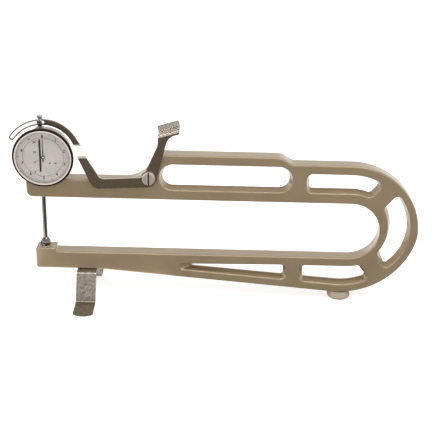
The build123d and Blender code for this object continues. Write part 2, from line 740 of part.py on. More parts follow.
def lever_face():
    """Front outline of the lifting lever with its slot, before bending."""
    mid_r = band_mid_r
    left_angle = degrees(acos((band_slot_x1 - head_x) / mid_r))
    face = arc_band(mid_r - band_half_w, mid_r + band_half_w, head_x, band_centre_z, 90, left_angle)
    tip = polar(head_x, band_centre_z, mid_r, left_angle)
    face += disc(*tip, band_half_w)
    over = band_centre_z + mid_r - head_z
    face += arc_band(over - band_half_w, over + band_half_w, head_x, head_z, 90 - inner_strut_angle, 90)
    outer_point = polar(head_x, head_z, over + band_half_w, 90 - strut_angle)
    inner_point = polar(head_x, head_z, over - band_half_w, 90 - inner_strut_angle)
    points = [(pivot_x + lever_reach * x, pivot_z + lever_reach * z) for x, z, r in lever_corner_shares]
    points = [outer_point] + points + [inner_point]
    radii = [0] + [lever_reach * r for x, z, r in lever_corner_shares] + [0]
    face += rounded(points, radii)
    right_angle = degrees(acos((band_slot_x2 - head_x) / mid_r))
    slot = arc_band(mid_r - band_slot_half, mid_r + band_slot_half, head_x, band_centre_z,
                    right_angle, left_angle)
    slot += disc(*tip, band_slot_half)
    slot += disc(*polar(head_x, band_centre_z, mid_r, right_angle), band_slot_half)
    return face - slot - disc(pivot_x, pivot_z, lever_screw_shank_r + run_gap)


def make_lift_lever():
    """Sheet lever: low part in front of the arm, joggled band over the head, thumb flange."""
    face = lever_face()
    turn = Rot(0, 0, thumb_angle)
    fold = thumb_bend_r + lever_t
    rise = lip_height * cos(radians(lip_lean)) + lever_t * sin(radians(lip_lean))
    lip = Pos(thumb_x, thumb_z) * (turn * (Pos(thumb_w / 2, rise / 2 - fold / 2) * RectangleRounded(
        thumb_w, rise + fold, lip_height / 2)))
    above = Pos(thumb_x, thumb_z) * (turn * (Pos(0, thumb_depth - fold) * Rectangle(
        4 * thumb_w, 2 * thumb_depth)))
    left_half = Pos(lever_split_x - throat_depth / 2, head_z) * Rectangle(throat_depth, throat_depth)
    flat = front_block(face - left_half - above, lever_front_y, lever_back_y)
    joggle = bent_strip(
        [(lever_front_y, 0), (lever_front_y, joggle_low_z), (-lever_upper_front, joggle_high_z),
         (-lever_upper_front, 2 * head_z)], -lever_t, joggle_r)
    sheet = Plane.YZ * joggle
    sheet = extrude(sheet, amount=throat_depth / 2, both=True)
    bent = front_block(face & left_half, 2 * lever_front_y, back_y) & sheet
    top_y = lever_front_y + thumb_depth
    flange = bent_strip(
        [(lever_front_y, -fold - overrun), (lever_front_y, 0), (top_y, 0),
         (top_y + lip_height * sin(radians(lip_lean)), lip_height * cos(radians(lip_lean)))],
        -lever_t, thumb_bend_r)
    flange_plane = Plane(origin=(thumb_x, 0, thumb_z), x_dir=(0, 1, 0),
                         z_dir=(cos(radians(thumb_angle)), 0, sin(radians(thumb_angle))))
    flange = extrude(flange_plane * flange, amount=2 * thumb_w, both=True)
    flange &= front_block((face & above) + lip, 2 * lever_front_y, 4 * thumb_depth)
    return flat + bent + flange


def make_pivot_washer():
    """Thin washer between the lever and the arm."""
    return ring_y(lever_screw_shank_r + run_gap, lobe_r - overrun, lever_back_y + run_gap, front_y,
                  pivot_x, pivot_z)


def make_pivot_screw():
    """Shoulder screw that the lever turns on."""
    near = lever_front_y - run_gap - lever_screw_t
    head = slotted_head(lever_screw_r, near, lever_screw_t, pivot_x, pivot_z, slot_w, slot_depth, 90)
    shank = rod_y(lever_screw_shank_r, near + lever_screw_t, front_y, pivot_x, pivot_z)
    return head + shank + rod_y(lever_screw_thread_r, front_y, lever_thread_y, pivot_x, pivot_z)


def make_bezel():
    """Turning bezel with the seat of the glass and the groove for its wire."""
    crown = bezel_r - bezel_crown_r
    lip_y = bezel_front_y + bezel_lip_depth
    groove_r = wire_inner_r + wire_t + seat_gap
    groove_near = wire_y - wire_t / 2 - seat_gap
    groove_far = wire_y + wire_t / 2 + seat_gap
    points = [
        (bezel_crown_r, bezel_front_y), (bezel_sight_r, bezel_front_y), (bezel_sight_r, lip_y),
        (bezel_glass_r, lip_y), (bezel_glass_r, ring_back_y), (skirt_r, ring_back_y),
        (skirt_r, groove_near), (groove_r, groove_near), (groove_r, groove_far),
        (skirt_r, groove_far), (skirt_r, bezel_back_y), (bezel_skirt_r, bezel_back_y),
        (bezel_skirt_r, ring_front_y), (bezel_r, ring_front_y - bezel_r + bezel_skirt_r),
        (bezel_r, bezel_front_y + crown)]
    edges = [Line(points[i], points[i + 1]).edge() for i in range(len(points) - 1)]
    edges.append(ThreePointArc(
        points[-1],
        (bezel_crown_r + crown * cos(radians(45)), bezel_front_y + crown - crown * sin(radians(45))),
        points[0]).edge())
    return Pos(head_x, 0, head_z) * revolve(make_face(Wire(edges)), Axis.Y)


def make_crystal():
    """Flat clear dial cover."""
    return rod_y(bezel_glass_r - seat_gap, glass_front_y, spacer_front_y, head_x, head_z)


def make_crystal_spacer():
    """Ring that keeps the crystal off the scale."""
    outer = bezel_glass_r - seat_gap
    return ring_y(outer - spacer_w, outer, spacer_front_y, ring_front_y, head_x, head_z)


def make_scale_ring():
    """Outer dial ring that turns with the bezel."""
    return ring_y(ring_inner_r, bezel_glass_r - seat_gap, ring_front_y, ring_back_y, head_x, head_z)


def make_bezel_wire():
    """Split ring that keeps the bezel on the head."""
    ring = ring_y(wire_inner_r, wire_inner_r + wire_t, wire_y - wire_t / 2, wire_y + wire_t / 2,
                  head_x, head_z)
    return ring - Pos(head_x, wire_y, head_z - head_r) * Box(wire_split, 2 * wire_t, 4 * wire_t)


def counter_slot(near_y, far_y):
    """Cutter for the marker's slot in the dial and the plate behind it."""
    low = marker_z - marker_r - counter_over
    high = marker_z + travel + marker_r + counter_over
    slot = Pos(0, (low + high) / 2) * (Rot(0, 0, 90) * SlotOverall(high - low, 2 * counter_half_w))
    return front_block(slot, near_y, far_y)


def make_dial_disc():
    """Fixed middle of the dial with the counter's slot and two feet."""
    body = rod_y(dial_r, dial_front_y, dial_back_y, head_x, head_z)
    body -= counter_slot(dial_front_y - overrun, dial_back_y + overrun)
    body -= rod_y(arbor_r + air_gap, dial_front_y - overrun, dial_back_y + overrun, head_x, head_z)
    for angle in (dial_foot_angle, dial_foot_angle + 180):
        body += rod_y(arbor_r, dial_back_y, dial_back_y + plate_t, *polar(head_x, head_z, dial_foot_ring_r, angle))
    return body


def make_front_plate():
    """Front plate of the movement."""
    body = rod_y(plate_r, plate_front_y, plate_back_y, head_x, head_z)
    body -= counter_slot(plate_front_y - overrun, plate_back_y + overrun)
    holes = [(head_x, head_z, arbor_r + run_gap), (wheel_x, wheel_z, arbor_r + run_gap)]
    holes += [(x, z, screw_r + seat_gap) for x, z in ring_places(screw_count, pillar_first_angle)]
    holes += [(*polar(head_x, head_z, dial_foot_ring_r, angle), arbor_r + seat_gap)
              for angle in (dial_foot_angle, dial_foot_angle + 180)]
    for x, z, radius in holes:
        body -= rod_y(radius, plate_front_y - overrun, plate_back_y + overrun, x, z)
    return body


def make_back_plate():
    """Back plate of the movement."""
    body = rod_y(plate_r, back_plate_y, back_plate_y + plate_t, head_x, head_z)
    holes = [(head_x, head_z, arbor_r + run_gap), (wheel_x, wheel_z, arbor_r + run_gap),
             (post_x, wheel_z, post_r + seat_gap)]
    holes += [(x, z, screw_r + seat_gap) for x, z in ring_places(screw_count, pillar_first_angle)]
    for x, z, radius in holes:
        body -= rod_y(radius, back_plate_y - overrun, back_plate_y + plate_t + overrun, x, z)
    return body


def make_pillars():
    """Three pillars that hold the two plates apart."""
    pillars = Part()
    hole_far = screw_tip_y - seat_gap
    for x, z in ring_places(screw_count, pillar_first_angle):
        post = rod_y(pillar_r, plate_back_y, back_plate_y, x, z)
        post += rod_y(screw_r, plate_front_y, plate_back_y, x, z)
        post -= rod_y(screw_r + seat_gap, hole_far, back_plate_y + overrun, x, z)
        pillars += post
    return pillars


def back_screw(near_y, head_y, x, z):
    """A small slotted screw driven from the back."""
    body = rod_y(screw_r, near_y, head_y, x, z)
    body += rod_y(screw_head_r, head_y, head_y + screw_head_t, x, z)
    groove = Pos(x, z) * Rectangle(4 * screw_head_r, small_slot_w)
    return body - front_block(groove, head_y + screw_head_t / 2, head_y + screw_head_t + overrun)


def make_movement_screws():
    """Screws through the ledge and the back plate into the pillars."""
    screws = Part()
    for x, z in ring_places(screw_count, pillar_first_angle):
        screws += back_screw(screw_tip_y, cover_y - screw_head_t - seat_gap / 2, x, z)
    return screws


def make_back_cover():
    """Round cover over the back of the head."""
    body = rod_y(cover_r, cover_y, cover_y + cover_t, head_x, head_z)
    body = chamfer(body.edges().group_by(Axis.Y)[-1], air_gap)
    for place in cover_places():
        body -= rod_y(screw_r + seat_gap, cover_y - overrun, cover_y + cover_t + overrun, *place)
        body -= rod_y(screw_head_r + seat_gap, cover_y + cover_t - screw_head_t,
                      cover_y + cover_t + overrun, *place)
    return body


def make_cover_screws():
    """Screws of the back cover."""
    screws = Part()
    for x, z in cover_places():
        screws += back_screw(cover_thread_y, cover_y + cover_t - screw_head_t, x, z)
    return screws


def gear_face(teeth, radius, first_angle, x, z):
    """Front outline of a small gear with slim teeth."""
    points = []
    half = tooth_pitch * tooth_share / 2
    crest_half = half - addendum * tan(radians(flank_angle))
    root_half = half + dedendum * tan(radians(flank_angle))
    for i in range(teeth):
        middle = radians(first_angle + i * 360 / teeth)
        for reach, offset in ((radius - dedendum, -root_half), (radius + addendum, -crest_half),
                              (radius + addendum, crest_half), (radius - dedendum, root_half)):
            spread = middle + asin(offset / reach)
            points.append((x + reach * cos(spread), z + reach * sin(spread)))
    return make_face(Polyline(*points, close=True))


def make_centre_arbor():
    """Centre arbor with its pinion, which the rack turns."""
    body = rod_y(arbor_r, pointer_front_y - hub_cap_t / 2, back_plate_y + plate_t - seat_gap,
                 head_x, head_z)
    body += front_block(gear_face(pinion_teeth, pinion_r, 180, head_x, head_z),
                        -pinion_length / 2, pinion_length / 2)
    body += rod_y(collar_r, plate_back_y + seat_gap, plate_back_y + seat_gap + collar_t, head_x, head_z)
    return body + rod_y(arbor_r * 2, pinion_length / 2, back_plate_y - seat_gap, head_x, head_z)


def make_return_wheel():
    """Wheel that carries the return spring's pull to the pinion."""
    pinion_step = 360 / pinion_teeth
    offset = (180 - wheel_angle) % pinion_step
    gap_angle = wheel_angle + 180 - offset * pinion_teeth / wheel_teeth
    first = gap_angle + 180 / wheel_teeth
    body = front_block(gear_face(wheel_teeth, wheel_r, first, wheel_x, wheel_z), -wheel_t / 2, wheel_t / 2)
    body += rod_y(collar_r, -wheel_t / 2 - collar_t, -wheel_t / 2, wheel_x, wheel_z)
    return body - rod_y(arbor_r + seat_gap, -2 * collar_t, 2 * collar_t, wheel_x, wheel_z)


def make_return_arbor():
    """Arbor of the return wheel."""
    body = rod_y(arbor_r, plate_front_y + seat_gap, back_plate_y + plate_t - seat_gap, wheel_x, wheel_z)
    return body + rod_y(collar_r, plate_back_y + seat_gap, plate_back_y + seat_gap + collar_t,
                        wheel_x, wheel_z)


def make_spring_collet():
    """Collet that holds the inner end of the return spring."""
    return ring_y(arbor_r + seat_gap, collar_r, coil_near_y - seat_gap, coil_near_y + coil_height + seat_gap,
                  wheel_x, wheel_z)


def make_return_spring():
    """Flat spiral spring between the wheel's collet and the fixed post."""
    face = Sketch()
    half = coil_strip / 2
    far = 4 * coil_pitch * coil_turns
    for i in range(2 * coil_turns):
        radius = coil_inner_r + half + i * coil_pitch / 2
        shift = 0 if i % 2 == 0 else coil_pitch / 2
        side = far / 2 if i % 2 == 0 else -far / 2
        ring = disc(shift, 0, radius + half) - disc(shift, 0, radius - half)
        face += ring & (Pos(0, side) * Rectangle(2 * far, far))
    tab_near = collar_r + seat_gap
    tab_far = coil_inner_r + coil_strip
    face += Pos((tab_near + tab_far) / 2, 0) * Rectangle(tab_far - tab_near, coil_strip)
    face += disc(post_shift, 0, post_r + seat_gap + coil_strip)
    face -= disc(post_shift, 0, post_r + seat_gap)
    return front_block(Pos(wheel_x, wheel_z) * face, coil_near_y, coil_near_y + coil_height)


def make_spring_post():
    """Post on the back plate that holds the spring's outer end."""
    return rod_y(post_r, coil_near_y, back_plate_y + plate_t - seat_gap, post_x, wheel_z)


def make_pointer():
    """Long pointer with its short tail."""
    blade = make_face(Polyline(
        (head_x - pointer_half_w, head_z - pointer_tail), (head_x + pointer_half_w, head_z - pointer_tail),
        (head_x + pointer_half_w, head_z), (head_x + pointer_half_w / 4, head_z + pointer_tip_r),
        (head_x - pointer_half_w / 4, head_z + pointer_tip_r), (head_x - pointer_half_w, head_z),
        close=True))
    face = blade + disc(head_x, head_z, hub_r) - disc(head_x, head_z, hub_boss_r + seat_gap)
    return front_block(face, pointer_front_y, pointer_front_y + pointer_t)


def make_pointer_hub():
    """Hub that presses the pointer on to the arbor."""
    body = rod_y(hub_r, pointer_front_y - hub_cap_t, pointer_front_y, head_x, head_z)
    body += rod_y(hub_boss_r, pointer_front_y, pointer_front_y + hub_t - hub_cap_t, head_x, head_z)
    return body - rod_y(arbor_r + seat_gap, pointer_front_y - hub_cap_t / 2, dial_front_y, head_x, head_z)


def make_foot_strap():
    """Bent strap under the lower arm with two spread feet."""
    low = stand_z
    top = -lower_bottom - strap_t
    points = [(-strap_reach, low), (-strap_knee, low), (-strap_flat, top), (strap_flat, top),
              (strap_knee, low), (strap_reach, low)]
    side = bent_strip(points, strap_t, strap_bend_r)
    strap = Pos(strap_x, 0, 0) * extrude(Plane.YZ * side, amount=strap_w)
    corner = strap_reach - strap_end_rise
    plan = make_face(Wire([
        ThreePointArc((0, -corner), (strap_w / 2, -strap_reach), (strap_w, -corner)).edge(),
        Line((strap_w, -corner), (strap_w, corner)).edge(),
        ThreePointArc((strap_w, corner), (strap_w / 2, strap_reach), (0, corner)).edge(),
        Line((0, corner), (0, -corner)).edge()]))
    strap &= Pos(strap_x, 0, 2 * stand_z) * extrude(plan, amount=-2 * stand_z)
    hole = Pos(strap_x + strap_w / 2, 0, -lower_bottom) * Cylinder(strap_screw_r + seat_gap, 4 * strap_t)
    return strap - hole


def bottom_screw(x, seat_z, length, radius, head_radius, thickness):
    """A slotted screw driven upward, its head under the seat."""
    body = Pos(x, 0, seat_z + length / 2) * Cylinder(radius, length)
    head = Pos(x, 0, seat_z - thickness / 2) * Cylinder(head_radius, thickness)
    head = fillet(head.edges().group_by(Axis.Z)[0], thickness / 3)
    head -= Pos(x, 0, seat_z - thickness) * Box(4 * head_radius, slot_w, slot_depth * 2)
    return body + head


def make_strap_screw():
    """Screw that holds the strap to the lower arm."""
    return bottom_screw(strap_x + strap_w / 2, -lower_bottom - strap_t, strap_t + foot_screw_length,
                        strap_screw_r, strap_screw_head_r, strap_screw_head_t)


def make_rear_foot():
    """Round moulded foot under the heel."""
    knee = stand_z + foot_edge_r
    inset = foot_r - foot_edge_r
    outline = [
        Line((0, stand_z), (inset, stand_z)),
        ThreePointArc((inset, stand_z), (inset + foot_edge_r * sin(radians(45)),
                                         knee - foot_edge_r * cos(radians(45))), (foot_r, knee)),
        Line((foot_r, knee), (foot_top_r, foot_top_z)),
        Line((foot_top_r, foot_top_z), (0, foot_top_z)),
        Line((0, foot_top_z), (0, stand_z))]
    body = revolve(Plane.XZ * make_face(Wire([piece.edge() for piece in outline])), Axis.Z)
    body -= Pos(0, 0, (stand_z + foot_top_z) / 2) * Cylinder(foot_screw_r + seat_gap, foot_top_z - stand_z)
    bore = foot_seat_z - stand_z
    body -= Pos(0, 0, stand_z + bore / 2) * Cylinder(strap_screw_head_r + air_gap, bore)
    return Pos(foot_x, 0, 0) * body


def make_rear_foot_screw():
    """Screw through the rear foot into the heel."""
    return bottom_screw(foot_x, foot_seat_z, foot_top_z - foot_seat_z + foot_screw_length,
                        foot_screw_r, strap_screw_head_r, strap_screw_head_t)


parts = {
    "frame": make_frame(),
    "anvil": make_anvil(),
    "lower_bush": make_lower_bush(),
    "upper_bush": make_upper_bush(),
    "spindle": make_spindle(),
    "contact_tip": make_contact_tip(),
    "top_button": make_top_button(),
    "counter_marker": make_counter_marker(),
    "lift_screw": make_lift_screw(),
    "lift_lever": make_lift_lever(),
    "pivot_washer": make_pivot_washer(),
    "pivot_screw": make_pivot_screw(),
    "bezel": make_bezel(),
    "crystal": make_crystal(),
    "crystal_spacer": make_crystal_spacer(),
    "scale_ring": make_scale_ring(),
    "bezel_wire": make_bezel_wire(),
    "dial_disc": make_dial_disc(),
    "front_plate": make_front_plate(),
    "back_plate": make_back_plate(),
    "pillars": make_pillars(),
    "movement_screws": make_movement_screws(),
    "back_cover": make_back_cover(),
    "cover_screws": make_cover_screws(),
    "centre_arbor": make_centre_arbor(),
    "return_wheel": make_return_wheel(),
    "return_arbor": make_return_arbor(),
    "spring_collet": make_spring_collet(),
    "return_spring": make_return_spring(),
    "spring_post": make_spring_post(),
    "pointer": make_pointer(),
    "pointer_hub": make_pointer_hub(),
    "foot_strap": make_foot_strap(),
    "strap_screw": make_strap_screw(),
    "rear_foot": make_rear_foot(),
    "rear_foot_screw": make_rear_foot_screw(),
}

os.makedirs("parts", exist_ok=True)
for name, solid in parts.items():
    export_step(solid, f"parts/{name}.step")
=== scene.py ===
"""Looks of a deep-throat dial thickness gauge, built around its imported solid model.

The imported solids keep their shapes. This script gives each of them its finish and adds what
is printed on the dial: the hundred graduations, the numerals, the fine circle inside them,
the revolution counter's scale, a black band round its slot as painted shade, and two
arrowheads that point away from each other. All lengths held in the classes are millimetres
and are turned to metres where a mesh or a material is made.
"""

from __future__ import annotations

import logging
import math
from dataclasses import dataclass
from enum import Enum

import bmesh
import bpy
from mathutils import Matrix, Vector

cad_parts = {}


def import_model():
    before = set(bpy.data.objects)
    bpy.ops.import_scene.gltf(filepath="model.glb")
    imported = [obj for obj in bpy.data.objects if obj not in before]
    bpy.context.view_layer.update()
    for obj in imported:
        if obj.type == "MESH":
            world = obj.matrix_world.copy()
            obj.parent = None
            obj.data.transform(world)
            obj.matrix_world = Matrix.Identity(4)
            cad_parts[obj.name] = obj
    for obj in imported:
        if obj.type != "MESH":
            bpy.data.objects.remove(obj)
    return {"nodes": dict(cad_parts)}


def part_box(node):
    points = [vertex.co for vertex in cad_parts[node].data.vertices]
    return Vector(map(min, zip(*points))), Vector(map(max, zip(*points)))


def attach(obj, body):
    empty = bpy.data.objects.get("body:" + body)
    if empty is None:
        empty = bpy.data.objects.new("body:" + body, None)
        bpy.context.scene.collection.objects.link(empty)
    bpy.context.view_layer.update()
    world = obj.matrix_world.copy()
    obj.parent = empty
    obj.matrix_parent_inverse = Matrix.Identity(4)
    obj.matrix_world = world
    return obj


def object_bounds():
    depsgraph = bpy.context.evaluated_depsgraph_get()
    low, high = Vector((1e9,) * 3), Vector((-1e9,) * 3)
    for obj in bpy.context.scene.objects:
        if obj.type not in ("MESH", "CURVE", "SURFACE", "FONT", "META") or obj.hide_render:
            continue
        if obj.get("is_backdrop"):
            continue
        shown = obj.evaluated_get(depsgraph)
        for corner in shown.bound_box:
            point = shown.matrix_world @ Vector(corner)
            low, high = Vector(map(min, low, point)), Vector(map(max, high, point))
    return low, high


log = logging.getLogger("dial gauge")

Mesh = bpy.types.Mesh
Node = bpy.types.Node
Socket = bpy.types.NodeSocket
Tree = bpy.types.NodeTree
Pair = tuple[float, float]
Triple = tuple[float, float, float]
Quad = tuple[float, float, float, float]

MM = 0.001
DIAL_X, DIAL_Z = 2.8, 95.4  # the dial's axis
UPRIGHT = Matrix.Rotation(math.radians(90), 4, "X")  # a flat drawing turned to face the front
WHOLE: Pair = (0.0, 1.0)
WELD = 1e-7  # metres within which two corners of a figure are one


class Lay(Enum):
    """Size of the marks on a worked metal surface along X, Y and Z, in millimetres.

    Real polishing and grinding marks are hundredths of a millimetre wide. These are drawn as
    coarse as they need to be to show.
    """

    LENGTHWAYS = (3.0, 1.0, 1.0)
    ROUND_UPRIGHT_AXIS = (40.0, 40.0, 0.6)
    ROUND_DIAL_AXIS = (1.4, 40.0, 1.4)
    NONE = (6.0, 6.0, 6.0)
    PATCHY = (2.4, 2.4, 2.4)


class Carrier(Enum):
    """Bodies that carry prints."""

    BEZEL = "bezel_body"
    FRAME = "frame_body"


def linear(hex_colour: str) -> Quad:
    """Turns an sRGB colour to the linear one that a shader takes.

    Args:
        hex_colour: Six hexadecimal digits.

    Returns:
        Red, green, blue and an alpha of one.
    """
    shares = [int(hex_colour[i : i + 2], 16) / 255 for i in (0, 2, 4)]
    turned = [s / 12.92 if s <= 0.04045 else ((s + 0.055) / 1.055) ** 2.4 for s in shares]
    return (turned[0], turned[1], turned[2], 1.0)


def add_node(
    tree: Tree, kind: str, inputs: dict[str | int, object] | None = None, **settings: object
) -> Node:
    """Adds a node to a tree, sets it up and links it.

    Args:
        tree: The node tree that the node goes into.
        kind: Blender's name of the node's class.
        inputs: Value or source socket for each input, by name or place.
        settings: The node's own properties.

    Returns:
        The new node.
    """
    node = tree.nodes.new(kind)
    for name, value in settings.items():
        setattr(node, name, value)
    for name, value in (inputs or {}).items():
        if isinstance(value, Socket):
            tree.links.new(value, node.inputs[name])
        else:
            node.inputs[name].default_value = value
    return node


@dataclass(frozen=True)
class Shading:
    """A material's node tree with its principled shader, and what a finish does with them."""

    tree: Tree
    shader: Node
    noise_roughness: float = 0.55
    edge_blur: float = 0.1

    def give(self, name: str, value: Socket | float | tuple[float, ...]) -> None:
        """Links a pattern to an input of the shader, or sets a value that is even all over.

        Args:
            name: The input's name.
            value: The pattern's socket, or the value.
        """
        if isinstance(value, Socket):
            self.tree.links.new(value, self.shader.inputs[name])
        else:
            self.shader.inputs[name].default_value = value

    def pattern(self, size: Triple, detail: float) -> Socket:
        """Lays a noise over the piece.

        Args:
            size: Size of the noise along each axis, in millimetres.
            detail: How many finer layers it has.

        Returns:
            The noise's value, about a half on average.
        """
        coords = add_node(self.tree, "ShaderNodeTexCoord")
        scale = tuple(1.0 / (side * MM) for side in size)
        sized = {"Vector": coords.outputs["Object"], "Scale": scale}
        mapping = add_node(self.tree, "ShaderNodeMapping", sized)
        settings = {"Scale": 1.0, "Detail": detail, "Roughness": self.noise_roughness}
        settings["Vector"] = mapping.outputs[0]
        return add_node(self.tree, "ShaderNodeTexNoise", settings).outputs["Fac"]

    def between(self, value: Socket, low: float, high: float, spread: Pair) -> Socket:
        """Maps a pattern's value to a range.

        Args:
            value: The pattern's value.
            low: What the low end of the spread becomes.
            high: What the high end becomes.
            spread: The part of the pattern's values that is used.

        Returns:
            The mapped value.
        """
        inputs = {0: value, 1: spread[0], 2: spread[1], 3: low, 4: high}
        return add_node(self.tree, "ShaderNodeMapRange", inputs).outputs[0]

    def blend(self, share: Socket, first: str | Socket, second: str) -> Socket:
        """Mixes two colours.

        Args:
            share: How much of the second colour shows.
            first: sRGB colour, or an already mixed one, at a share of nothing.
            second: sRGB colour at a share of one.

        Returns:
            The mixed colour.
        """
        start = linear(first) if isinstance(first, str) else first
        inputs = {0: share, 6: start, 7: linear(second)}
        return add_node(self.tree, "ShaderNodeMix", inputs, data_type="RGBA").outputs[2]

    def place(self, axis_x: float = 0.0, axis_z: float = 0.0) -> Node:
        """Measures from a line that runs front to back.

        Args:
            axis_x: The line's place across, in millimetres.
            axis_z: Its height.

        Returns:
            The node whose outputs X, Y and Z are the distances in metres.
        """
        coords = add_node(self.tree, "ShaderNodeTexCoord")
        start = (-axis_x * MM, 0.0, -axis_z * MM)
        moved = {"Vector": coords.outputs["Object"], "Location": start}
        mapping = add_node(self.tree, "ShaderNodeMapping", moved)
        return add_node(self.tree, "ShaderNodeSeparateXYZ", {0: mapping.outputs[0]})

    def radius(self, place: Node) -> Socket:
        """Works out how far the surface is from a line that runs front to back.

        Args:
            place: The place measured from that line.

        Returns:
            The distance in metres.
        """
        flat = {"X": place.outputs["X"], "Z": place.outputs["Z"]}
        away = {0: add_node(self.tree, "ShaderNodeCombineXYZ", flat).outputs[0]}
        length = add_node(self.tree, "ShaderNodeVectorMath", away, operation="LENGTH")
        return length.outputs["Value"]

    def step(self, value: Socket, edge: float) -> Socket:
        """Gives 1 past an edge in millimetres and 0 before it, with a narrow blur."""
        low, high = (edge - self.edge_blur) * MM, (edge + self.edge_blur) * MM
        return self.between(value, 0.0, 1.0, (low, high))

    def relief(self, height: Socket, depth: float, strength: float) -> None:
        """Gives the surface a relief.

        Args:
            height: The relief's pattern.
            depth: Its depth in millimetres.
            strength: How much of it is used.
        """
        inputs = {"Height": height, "Distance": depth * MM, "Strength": strength}
        self.give("Normal", add_node(self.tree, "ShaderNodeBump", inputs).outputs[0])


@dataclass(frozen=True)
class Finish:
    """What every finish has: a name, and a material that is made once."""

    name: str = "finish"

    def material(self) -> bpy.types.Material:
        """Makes the finish's material the first time that it is asked for.

        Returns:
            The material.
        """
        found = bpy.data.materials.get(self.name)
        if found is not None:
            return found
        made = bpy.data.materials.new(self.name)
        made.use_nodes = True
        tree = made.node_tree
        self.lay_down(Shading(tree, tree.nodes["Principled BSDF"]))
        return made

    def lay_down(self, shading: Shading) -> None:
        """Sets up the shader; each kind of finish has its own way."""
        raise NotImplementedError


@dataclass(frozen=True)
class GrainedFinish(Finish):
    """A finish whose two colours and whose gloss follow its grain."""

    colour: str = "FFFFFF"
    second_colour: str = "FFFFFF"
    grain: Triple = Lay.NONE.value
    detail: float = 3.0
    spread: Pair = (0.3, 0.7)  # values of the grain between which the colour changes
    gloss_spread: Pair = (0.3, 0.7)
    fine_grain: Triple | None = None  # grain of gloss and relief, where the colour's is coarser
    fine_detail: float = 2.0
    roughness: float = 0.5
    swing: Pair = (0.0, 0.0)  # how far the roughness goes down and up
    metallic: float = 0.0
    coat: float = 0.0
    coat_roughness: float = 0.1
    relief: float = 0.0
    relief_strength: float = 1.0

    def tint(self, shading: Shading, grain: Socket) -> Socket:
        """Mixes the finish's two colours.

        Args:
            shading: The material's tree and shader.
            grain: The grain that they follow.

        Returns:
            The mixed colour.
        """
        share = shading.between(grain, 0.0, 1.0, self.spread)
        return shading.blend(share, self.colour, self.second_colour)

    def lay_down(self, shading: Shading) -> None:
        """Sets colour, gloss, metal, clear coat and relief.

        Args:
            shading: The material's tree and shader.
        """
        grain = shading.pattern(self.grain, self.detail)
        shading.give("Base Color", self.tint(shading, grain))
        if self.fine_grain is not None:
            grain = shading.pattern(self.fine_grain, self.fine_detail)
        low, high = (self.roughness + change for change in self.swing)
        shading.give("Roughness", shading.between(grain, low, high, self.gloss_spread))
        shading.give("Metallic", self.metallic)
        if self.coat:
            shading.give("Coat Weight", self.coat)
            shading.give("Coat Roughness", self.coat_roughness)
        if self.relief:
            shading.relief(grain, self.relief, self.relief_strength)


@dataclass(frozen=True)
class SprayedLacquer(GrainedFinish):
    """Greige lacquer sprayed on a blasted aluminium casting and baked.

    It is satin, with the faint orange peel of a spray gun, 1.6 mm wide, and its colour drifts
    a little from place to place. The fine metal flake in it makes the edges that face the
    light cream.
    """

    name: str = "sprayed_lacquer_on_cast_aluminium"
    colour: str = "A69274"
    second_colour: str = "B09C7E"
    grain: Triple = (34.0, 34.0, 34.0)
    fine_grain: Triple = (1.6, 1.6, 1.6)
    roughness: float = 0.33
    swing: Pair = (-0.05, 0.06)
    metallic: float = 0.45
    coat: float = 0.68
    coat_roughness: float = 0.12
    relief: float = 0.025


@dataclass(frozen=True)
class PlatedSheet(GrainedFinish):
    """Stamped strip steel, polished along its length and nickel plated.

    It mirrors its surroundings softly, a little warm, and the polishing marks run along
    it as streaks that are only slightly duller.
    """

    name: str = "polished_nickel_plate_on_strip_steel"
    colour: str = "CCC2B5"
    second_colour: str = "BCB0A1"
    grain: Triple = Lay.LENGTHWAYS.value
    detail: float = 4.0
    spread: Pair = (0.38, 0.66)
    roughness: float = 0.2
    swing: Pair = (-0.02, 0.03)
    metallic: float = 1.0
    relief: float = 0.0015
    relief_strength: float = 0.06


@dataclass(frozen=True)
class TarnishedPlate(PlatedSheet):
    """Dull nickel plate, painted darker and olive towards the bench as painted shade.

    Above, it stays bright with grey-brown patches a few millimetres wide.
    """

    name: str = "nickel_plate_on_strap_with_painted_low_shade"
    colour: str = "B9AFA2"
    second_colour: str = "857B6C"
    grain: Triple = Lay.PATCHY.value
    roughness: float = 0.3
    # Painted shade: the plate darkens to this colour towards the bench.
    tarnish_colour: str = "5F5A48"
    tarnish_z: float = -47.0
    fade: float = 6.0

    def tint(self, shading: Shading, grain: Socket) -> Socket:
        """Fades the patchy plate to a painted shade towards the bench.

        Args:
            shading: The material's tree and shader.
            grain: The grain that the patches follow.

        Returns:
            The mixed colour.
        """
        plate = super().tint(shading, grain)
        zone = ((self.tarnish_z - self.fade) * MM, (self.tarnish_z + self.fade) * MM)
        share = shading.between(shading.place().outputs["Z"], 1.0, 0.0, zone)
        return shading.blend(share, plate, self.tarnish_colour)


@dataclass(frozen=True)
class ChromePlate(GrainedFinish):
    """Bright chrome on turned steel: a near mirror without a tint of its own, faintly smudged."""

    name: str = "bright_chrome_plate"
    colour: str = "D5D5D3"
    second_colour: str = "B9B9B6"
    roughness: float = 0.09
    swing: Pair = (-0.03, 0.07)
    metallic: float = 1.0


@dataclass(frozen=True)
class GroundSteel(GrainedFinish):
    """Hardened steel ground between centres: a grey mirror, duller along fine marks."""

    name: str = "ground_steel"
    colour: str = "BDBBB7"
    second_colour: str = "8E8C88"
    grain: Triple = Lay.ROUND_UPRIGHT_AXIS.value
    detail: float = 2.0
    roughness: float = 0.2
    swing: Pair = (-0.06, 0.08)
    metallic: float = 1.0
    relief: float = 0.006
    relief_strength: float = 0.6


@dataclass(frozen=True)
class TurnedBrass(GrainedFinish):
    """Clock brass, turned and lightly grained: a warm yellow, a little dulled by age."""

    name: str = "turned_brass"
    colour: str = "C9A45B"
    second_colour: str = "A98649"
    grain: Triple = Lay.ROUND_DIAL_AXIS.value
    roughness: float = 0.28
    swing: Pair = (-0.06, 0.12)
    metallic: float = 1.0


